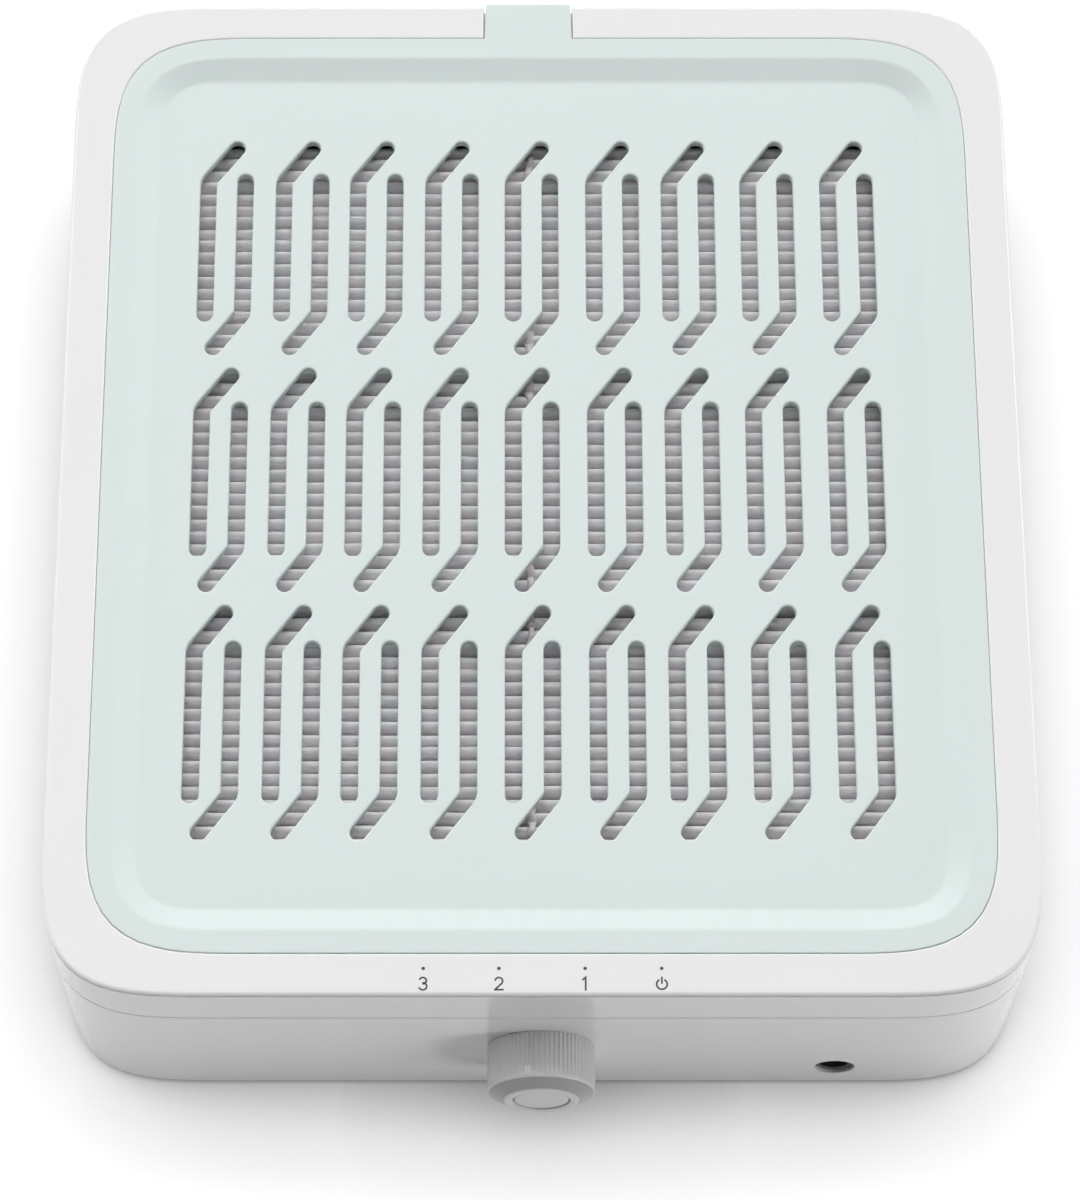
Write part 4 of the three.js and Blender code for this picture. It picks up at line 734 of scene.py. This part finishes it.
def tray_cover():
    """Skin of the rim and slope; floor and underside are filled round the slots' edges."""
    over = tray_profile()
    inner = RIM + SLOPE_RUN
    under = [(inner + 1.0, SLOT_UNDER), (inner - 0.5, SLOT_UNDER), (RIM + 0.6, TRAY_UNDER)]
    sections = [(tabbed(inset), z) for inset, z in over + under]
    verts, faces = loft(sections, closed=True)
    count = len(sections[0][0])
    floor_start, under_start = (len(over) - 1) * count, len(over) * count
    del faces[floor_start:under_start]
    floor_loops = [range(floor_start, under_start)]
    under_loops = [range(under_start, under_start + count)]
    parts, start = [(verts, faces)], len(verts)
    for path in slot_paths():
        rings = slot_rings(path)
        parts.append(loft(rings, cap=False))
        n = len(rings[0][0])
        end = start + n * len(rings)
        floor_loops.append(range(start, start + n))
        under_loops.append(range(end - n, end))
        start = end
    verts, faces = merged(parts)
    for loops in (floor_loops, under_loops):
        flat = [i for loop in loops for i in loop]
        outlines = [[Vector((verts[i][0], verts[i][1], 0)) for i in loop] for loop in loops]
        faces += [tuple(flat[i] for i in tri) for tri in tessellate_polygon(outlines)]
    body = solid("slotted_tray", verts, faces)
    finished(body, "cover", MINT, ("grille_cover",), 40)


# Filter


def pleated_media():
    """Folded sheet: each fold leans, lifts and waves a little in its own way."""
    valley, thin, crest_thick = MEDIA_BOTTOM + 2.4, 0.7, 2.2
    dome = (180, 170, 160, 148, 134, 118, 100, 80, 62, 46, 32, 20, 10, 0)
    stations, half_x = 26, MEDIA_SIZE[0] / 2
    leans = [rng.uniform(-0.18, 0.18) for _ in range(PLEATS)]
    lifts = [rng.uniform(-0.35, 0.0) for _ in range(PLEATS)]
    waves = [(rng.uniform(0, 6.3), rng.uniform(0.015, 0.04)) for _ in range(PLEATS)]
    verts, faces = [], []
    for s in range(stations + 1):
        x = -half_x + 2 * half_x * s / stations
        upper = [(-MEDIA_SIZE[1] / 2, MEDIA_BOTTOM)]
        lower = []
        for k, (phase, rate) in enumerate(waves):
            y = (k + 0.5 - PLEATS / 2) * PLEAT_PITCH + leans[k]
            y += 0.12 * math.sin(phase + x * rate * 3)
            lift = lifts[k] + 0.12 * math.sin(phase * 2 + x * rate * 2)
            crest = MEDIA_TOP + lift
            upper.append(((k - PLEATS / 2) * PLEAT_PITCH, valley))
            for a in dome:
                u = math.cos(math.radians(a))
                drop = 1 - (1 - abs(u) ** PLEAT_POWER) ** (1 / PLEAT_POWER)
                upper.append((y + PLEAT_HALF * u, crest - PLEAT_DROP * drop))
            lower += [(y - PLEAT_HALF + thin, MEDIA_BOTTOM), (y, crest - crest_thick),
                      (y + PLEAT_HALF - thin, MEDIA_BOTTOM)]
        upper += [(MEDIA_SIZE[1] / 2, valley), (MEDIA_SIZE[1] / 2, MEDIA_BOTTOM)]
        verts += [(x, y + MEDIA_SHIFT, z) for y, z in upper + lower[::-1]]
    n = len(verts) // (stations + 1)
    for s in range(stations):
        faces += strip(s * n, (s + 1) * n, n)
    for start in (0, stations * n):
        loop = [Vector((verts[start + i][1], verts[start + i][2], 0)) for i in range(n)]
        faces += [tuple(start + i for i in tri) for tri in tessellate_polygon([loop])]
    body = solid("pleated_media", verts, faces)
    finished(body, "filter", FLEECE, ("filter_media",), 60)


def glue_bead():
    """Uneven strand that lies on the crests and sags between them."""
    bead_x, half_width, half_height, sag = -2.4, 0.95, 0.5, 1.1
    steps = PLEATS * 8
    length = MEDIA_SIZE[1] - 2 * PLEAT_PITCH
    verts = []
    for i in range(steps + 1):
        y = -length / 2 + length * i / steps
        along = (y / PLEAT_PITCH + PLEATS / 2) % 1.0
        dip = sag * abs(2 * along - 1) ** 3
        swell = 1 + 0.18 * math.sin(i * 0.9) + 0.14 * math.sin(i * 0.37 + 1)
        middle = bead_x + 0.25 * math.sin(i * 0.21)
        for a in range(0, 360, 36):
            c, s = math.cos(math.radians(a)), math.sin(math.radians(a))
            verts.append((middle + half_width * swell * c, y + MEDIA_SHIFT,
                          MEDIA_TOP + 0.08 - dip + half_height * s))
    n = len(verts) // (steps + 1)
    faces = []
    for s in range(steps):
        faces += strip(s * n, (s + 1) * n, n)
    faces += [tuple(range(n)), tuple(range(steps * n, (steps + 1) * n))]
    body = solid("glue_strand", verts, faces)
    finished(body, "filter", GLUE, ("filter_glue_bead",), 60)


def filter_frame():
    """Cassette: a rounded wall and three flat ribs that carry the sheet."""
    fine = 0.15
    steps = [
        (0.3, FRAME_BOTTOM), (0.0, FRAME_BOTTOM + 0.3), (0.0, FRAME_TOP - FRAME_ROUND),
        (fine, FRAME_TOP - fine), (FRAME_ROUND, FRAME_TOP), (FRAME_WALL - FRAME_ROUND, FRAME_TOP),
        (FRAME_WALL - fine, FRAME_TOP - fine), (FRAME_WALL, FRAME_TOP - FRAME_ROUND),
        (FRAME_WALL, FRAME_BOTTOM),
    ]
    sections = [(rounded(FILTER_SIZE, FILTER_CORNER, inset), z) for inset, z in steps]
    parts = [loft(sections, closed=True)]
    half, height, bevel = 1.5, 1.2, 0.3
    for i in (-1, 0, 1):
        x = i * FILTER_SIZE[0] / 4
        rib = [
            (x - half, FRAME_BOTTOM), (x + half, FRAME_BOTTOM),
            (x + half, FRAME_BOTTOM + height - bevel), (x + half - bevel, FRAME_BOTTOM + height),
            (x - half + bevel, FRAME_BOTTOM + height), (x - half, FRAME_BOTTOM + height - bevel),
        ]
        end = FILTER_SIZE[1] / 2 - 1.5
        parts.append(bar([[(a, side * end + TRAY_SHIFT, b) for a, b in rib] for side in (-1, 1)]))
    body = solid("cassette_frame", *merged(parts))
    finished(body, "filter", FRAME_GREY, ("filter_frame",), 40)


# Knob


def knob_profile():
    """(radius, z, rib) round the dial; rib is the share of the rib's depth at that height."""
    crown = KNOB_FACE - KNOB_CHAMFER
    rib_start, rib_end, fade = KNOB_BACK + 0.2, crown - 0.3, 0.7
    straight = rib_end - fade - rib_start
    profile = [
        (KNOB_HOLLOW_R, KNOB_HOLLOW_END, 0), (KNOB_HOLLOW_R, KNOB_BACK, 0), (12.2, KNOB_BACK, 0),
        (12.45, KNOB_BACK + 0.05, 0.5), (KNOB_R, rib_start, 1),
    ]
    for k in range(1, 9):
        profile.append((KNOB_R, rib_start + straight * k / 8, 1))
    for k in range(1, 6):
        t = k / 5
        profile.append((KNOB_R, rib_end - fade + fade * t, 1 - t * t * (3 - 2 * t)))
    smooth = [
        (KNOB_R, crown - 0.12), (KNOB_R - 0.05, crown - 0.02), (KNOB_R - 0.16, crown + 0.12),
        (KNOB_R - 0.3, crown + 0.26), (KNOB_FACE_R + 0.22, KNOB_FACE - 0.24),
        (KNOB_FACE_R + 0.02, KNOB_FACE - 0.08), (KNOB_FACE_R - 0.2, KNOB_FACE - 0.01),
        (KNOB_FACE_R - 0.45, KNOB_FACE), (CAP_SEAT_R + 0.28, KNOB_FACE),
        (CAP_SEAT_R + 0.08, KNOB_FACE - 0.06), (CAP_SEAT_R, KNOB_FACE - 0.25),
        (CAP_SEAT_R, KNOB_FACE - 1.5), (SHAFT_R, KNOB_FACE - 1.5), (SHAFT_R, KNOB_HOLLOW_END),
    ]
    return profile + [(r, z, 0) for r, z in smooth]


def knob_body():
    """Ribbed dial, its chamfer in a darker grey than the rest: a painted shade for the little light
    that reaches it from the front.
    """
    profile = knob_profile()
    sides = KNOB_RIBS * STEPS_PER_RIB
    verts, faces = [], []
    for r, z, rib in profile:
        for i in range(sides):
            t = 2 * math.pi * i / sides
            wave = 0.5 - 0.5 * math.cos(2 * math.pi * i / STEPS_PER_RIB)
            reach = r - rib * RIB_DEPTH * wave**1.3
            verts.append((reach * math.cos(t), reach * math.sin(t), z))
    for s in range(len(profile)):
        faces += strip(s * sides, ((s + 1) % len(profile)) * sides, sides)
    body = solid("dial", to_front(verts, 0.0, KNOB_Z, KNOB_TURN), faces)
    finished(body, "knob", KNOB, ("knob",), 50)
    # The chamfer ring takes the darker grey, a painted shade.
    body.data.materials.append(KNOB_CHAMFER_PAINTED_SHADE)
    chamfer = [r for r, z, rib in profile].index(KNOB_R - 0.3)
    for i in range(chamfer * sides, (chamfer + 1) * sides):
        body.data.polygons[i].material_index = 1


def knob_cap():
    """Disc let into the dial's face."""
    face, edge = KNOB_FACE - 0.22, 0.35
    back = KNOB_FACE - 1.2
    profile = [(0, back), (CAP_R - 0.1, back)]
    profile += curve(CAP_R - edge, face - edge, edge, edge, 0, 90, 5) + [(5.6, face), (0, face)]
    body = solid("dial_cap", *front_lathe(profile, 0.0, KNOB_Z, 96))
    finished(body, "knob", KNOB, ("knob_cap",), 50)


def knob_pointer():
    """Pale mark let into the crown of the dial, at the front end of its ribs; its pale tone there is
    partly a painted highlight.
    """
    high = KNOB_FACE - KNOB_CHAMFER - 0.2
    half, low = 0.6, high - 2.3
    base, crest = KNOB_R - 0.9, KNOB_R - 0.04
    ring = [(-half, base), (half, base), (half, crest - 0.1), (half - 0.08, crest),
            (-half + 0.08, crest), (-half, crest - 0.1)]
    verts, faces = bar([[(a, b, z) for a, b in ring] for z in (low, high)])
    body = solid("dial_mark", to_front(verts, 0.0, KNOB_Z, KNOB_TURN), faces)
    finished(body, "knob", POINTER_AND_PAINTED_HIGHLIGHT, ("knob_pointer",), 60)


# Socket, feet and screws


def socket():
    """Power socket: a block behind the wall, a round nose in its hole, a bore and a pin."""
    back, shoulder, nose = -17.4, -3.4, -0.9
    bore, nose_r, half = 3.2, 4.34, 4.8
    corners = [(-half, -half), (half, -half), (half, half), (-half, half)]
    verts, faces = loft([(corners, back), (corners, shoulder)])
    body = solid("socket_barrel", to_front(verts, SOCKET_X, SOCKET_Z), faces)
    tip = [(0, back + 1), (nose_r, back + 1), (nose_r, nose - 0.15), (nose_r - 0.15, nose), (0, nose)]
    boolean(body, solid("nose", *front_lathe(tip, SOCKET_X, SOCKET_Z)), "UNION")
    mouth = bore + 0.25
    inside = [(0, back + 2), (bore, back + 2), (bore, nose - 0.25), (mouth, nose), (mouth, 1), (0, 1)]
    boolean(body, solid("bore", *front_lathe(inside, SOCKET_X, SOCKET_Z)))
    finished(body, "housing", BLACK, ("dc_jack_body",), 50)
    rod = [(0, back - 3), (1, back - 3), (1, shoulder), (0.8, -2.95), (0.45, -2.75), (0, -2.7)]
    pin = solid("socket_pin", *front_lathe(rod, SOCKET_X, SOCKET_Z, 32))
    finished(pin, "housing", BRASS, ("dc_jack_pin",), 50)


def foot(index, place):
    top, radius = 2.7, 9.0
    profile = [(0, 0.0), (radius - 0.7, 0.0), (radius - 0.35, 0.08), (radius - 0.1, 0.3),
               (radius, 0.6), (radius, top), (0, top)]
    body = solid(f"foot_pad_{index}", *lathe(profile, 72, place))
    finished(body, "housing", RUBBER, (f"rubber_foot_{index}",), 50)


def case_screw(index, place):
    """Screw with a rounded head and a cross recess, its head facing down in its well."""
    x, y = place
    seat, head, thread = SCREW_SEAT, 2.9, 1.5
    profile = [(0, seat - 2.0), (1.9, seat - 2.0), (2.6, seat - 1.7), (head, seat - 1.1), (head, seat),
               (thread, seat), (thread, seat + 16.5), (0, seat + 18)]
    body = solid(f"case_fixing_{index}", *lathe(profile, 40, place))
    for a, b in ((1.7, 0.32), (0.32, 1.7)):
        points = [(x - a, y - b), (x + a, y - b), (x + a, y + b), (x - a, y + b)]
        boolean(body, solid("arm", *loft([(points, seat - 3), (points, seat - 1.0)])))
    finished(body, "housing", STEEL, (f"case_screw_{index}",), 40)


# Marks over the knob


def stroke(path, half=0.21):
    points = band(path, half, 6)
    return loft([(points, TOP - 0.1), (points, TOP + 0.018)])


def figure_paths(kind, x, y):
    """Strokes of a numeral or of the standby sign, 3 mm high, about a middle."""
    if kind == "1":
        return [[(x - 0.55, y + 0.95), (x + 0.1, y + 1.5), (x + 0.1, y - 1.5)]]
    if kind == "2":
        top = curve(x, y + 0.62, 0.85, 0.85, 165, -40, 12)
        return [top + [(x - 0.9, y - 1.45)], [(x - 0.9, y - 1.45), (x + 0.95, y - 1.45)]]
    if kind == "3":
        upper = curve(x - 0.05, y + 0.72, 0.78, 0.76, 155, -88, 12)
        lower = curve(x - 0.05, y - 0.66, 0.88, 0.84, 88, -155, 14)
        return [upper, lower]
    return [curve(x, y - 0.15, 1.2, 1.2, 125, 415, 24), [(x, y + 0.1), (x, y + 1.5)]]


def marks():
    """Four dots at the knob's stops, with their figures."""
    parts = []
    for kind, x in MARKS_X:
        parts += [stroke(path) for path in figure_paths(kind, x, MARKS_Y)]
        parts.append(stroke([(x - 0.01, MARK_DOTS_Y), (x + 0.01, MARK_DOTS_Y)], 0.42))
    body = solid("speed_marks", *merged(parts))
    finished(body, "housing", MARKS, (), 60)


# Stage, light and camera

# What is seen of the floor is lifted by a glow that follows the share of open sky above it; being
# lower near the object, that glow paints a shadow over the real one. Three ranges of that share, each
# with the lift that it adds.
FLOOR_LIFT_PAINTED_SHADOW = ((0.2, 0.45, 0.0, 0.33), (0.45, 0.66, 0.0, 0.38), (0.66, 0.95, 0.0, 0.24))
FLOOR_SHADE_REACH = 0.045
WORLD_LIGHT = 0.03
CAMERA_TILT = 65.976
CAMERA_PLACE = (-0.0089, (-454.7 + SHIFT_Y) / 1000, 1.0153)


def seen_directly(tree):
    """1 for rays that show a surface or its mirror image, 0 for rays that only carry light."""
    path = tree.nodes.new("ShaderNodeLightPath")
    total = path.outputs["Is Camera Ray"]
    for name in ("Is Glossy Ray", "Is Transmission Ray"):
        add = tree.nodes.new("ShaderNodeMath")
        add.use_clamp = True
        tree.links.new(total, add.inputs[0])
        tree.links.new(path.outputs[name], add.inputs[1])
        total = add.outputs[0]
    return total


def stage_floor():
    """Plain white paper; what is seen of it glows to white, less near the object where that glow
    paints a shadow, and it keeps the real shadow too.
    """
    mesh = bpy.data.meshes.new("floor")
    s = 6.0
    mesh.from_pydata([(-s, -s, 0), (s, -s, 0), (s, s, 0), (-s, s, 0)], [], [(0, 1, 2, 3)])
    floor = add_object("floor", mesh)
    m = Nodes("floor_paper")
    cloud = m.spread(m.noise(3.0), 0.0, 1.0)
    paper = m.mix(cloud, (0.77, 0.77, 0.77, 1), (0.78, 0.78, 0.78, 1))
    m.set("Base Color", m.mix(seen_directly(m.tree), paper, (0.2, 0.2, 0.2, 1)))
    m.set("Roughness", 0.9)
    m.set("Specular IOR Level", 0.0)
    m.set("Emission Color", (1, 1, 1, 1))
    # Painted shadow: the glow seen on the floor drops where the object hides the sky close by.
    sky = m.new("ShaderNodeAmbientOcclusion", Distance=FLOOR_SHADE_REACH)
    sky.samples = 32
    lift = 0.0
    for steps in FLOOR_LIFT_PAINTED_SHADOW:
        lift = m.math("ADD", m.remap(sky.outputs["AO"], *steps), lift)
    m.set("Emission Strength", m.math("MULTIPLY", lift, seen_directly(m.tree)))
    mesh.materials.append(m.material)


def area(name, side, back, rise, distance, size, level, mirrored):
    """Soft panel that adds the given level, 1 being white, to a white surface that faces up."""
    way = Vector((side, back, rise)).normalized()
    light = bpy.data.lights.new(name, "AREA")
    light.shape = "RECTANGLE"
    light.size, light.size_y = size
    light.energy = level * math.pi**2 * distance**2 / way.z
    lamp = bpy.data.objects.new(name, light)
    scene.collection.objects.link(lamp)
    lamp.location = Vector((0.0, 0.0, 0.05)) + way * distance
    lamp.rotation_euler = way.to_track_quat("Z", "Y").to_euler()
    lamp.visible_camera = False
    lamp.visible_glossy = mirrored


def studio_world():
    """White where it is seen, and a weak light everywhere else."""
    world = bpy.data.worlds.new("studio")
    scene.world = world
    world.use_nodes = True
    tree = world.node_tree
    background = tree.nodes["Background"]
    background.inputs["Color"].default_value = (1, 1, 1, 1)
    blend = tree.nodes.new("ShaderNodeMix")
    tree.links.new(seen_directly(tree), blend.inputs[0])
    blend.inputs[2].default_value = WORLD_LIGHT
    blend.inputs[3].default_value = 1.0
    tree.links.new(blend.outputs[0], background.inputs["Strength"])


def photo_camera():
    camera_data = bpy.data.cameras.new("camera")
    camera_data.sensor_width = 36
    camera_data.lens = 132
    camera_data.shift_x = 0.0306
    camera = bpy.data.objects.new("camera", camera_data)
    scene.collection.objects.link(camera)
    camera.location = CAMERA_PLACE
    camera.rotation_euler = (math.radians(90 - CAMERA_TILT), 0, 0)
    scene.camera = camera


finish_solids()
upper_shell()
lower_shell()
tray_cover()
pleated_media()
glue_bead()
filter_frame()
knob_body()
knob_cap()
knob_pointer()
socket()
for number, spot in enumerate(FEET, 1):
    foot(number, spot)
for number, spot in enumerate(CASE_SCREWS, 1):
    case_screw(number, spot)
marks()

stage_floor()
area("overhead", 0.0, 0.1, 1.0, 5.2, (3.0, 2.4), 0.24, mirrored=False)
area("top_back", 0.0, 0.36, 0.93, 5.2, (3.2, 1.0), 0.2, mirrored=False)
area("low_back", 0.0, 0.93, 0.36, 5.4, (5.0, 0.9), 0.16, mirrored=False)
area("left_back", -0.6, 0.45, 0.66, 4.8, (1.4, 1.4), 0.12, mirrored=True)
area("right_back", 0.6, 0.45, 0.66, 4.8, (1.4, 1.4), 0.15, mirrored=True)
area("left", -0.95, 0.0, 0.3, 1.8, (0.6, 0.6), 0.06, mirrored=True)
area("right_front", 0.75, -0.62, 0.12, 3.8, (1.7, 0.47), 0.034, mirrored=True)
studio_world()
photo_camera()
scene.view_settings.view_transform = "Standard"
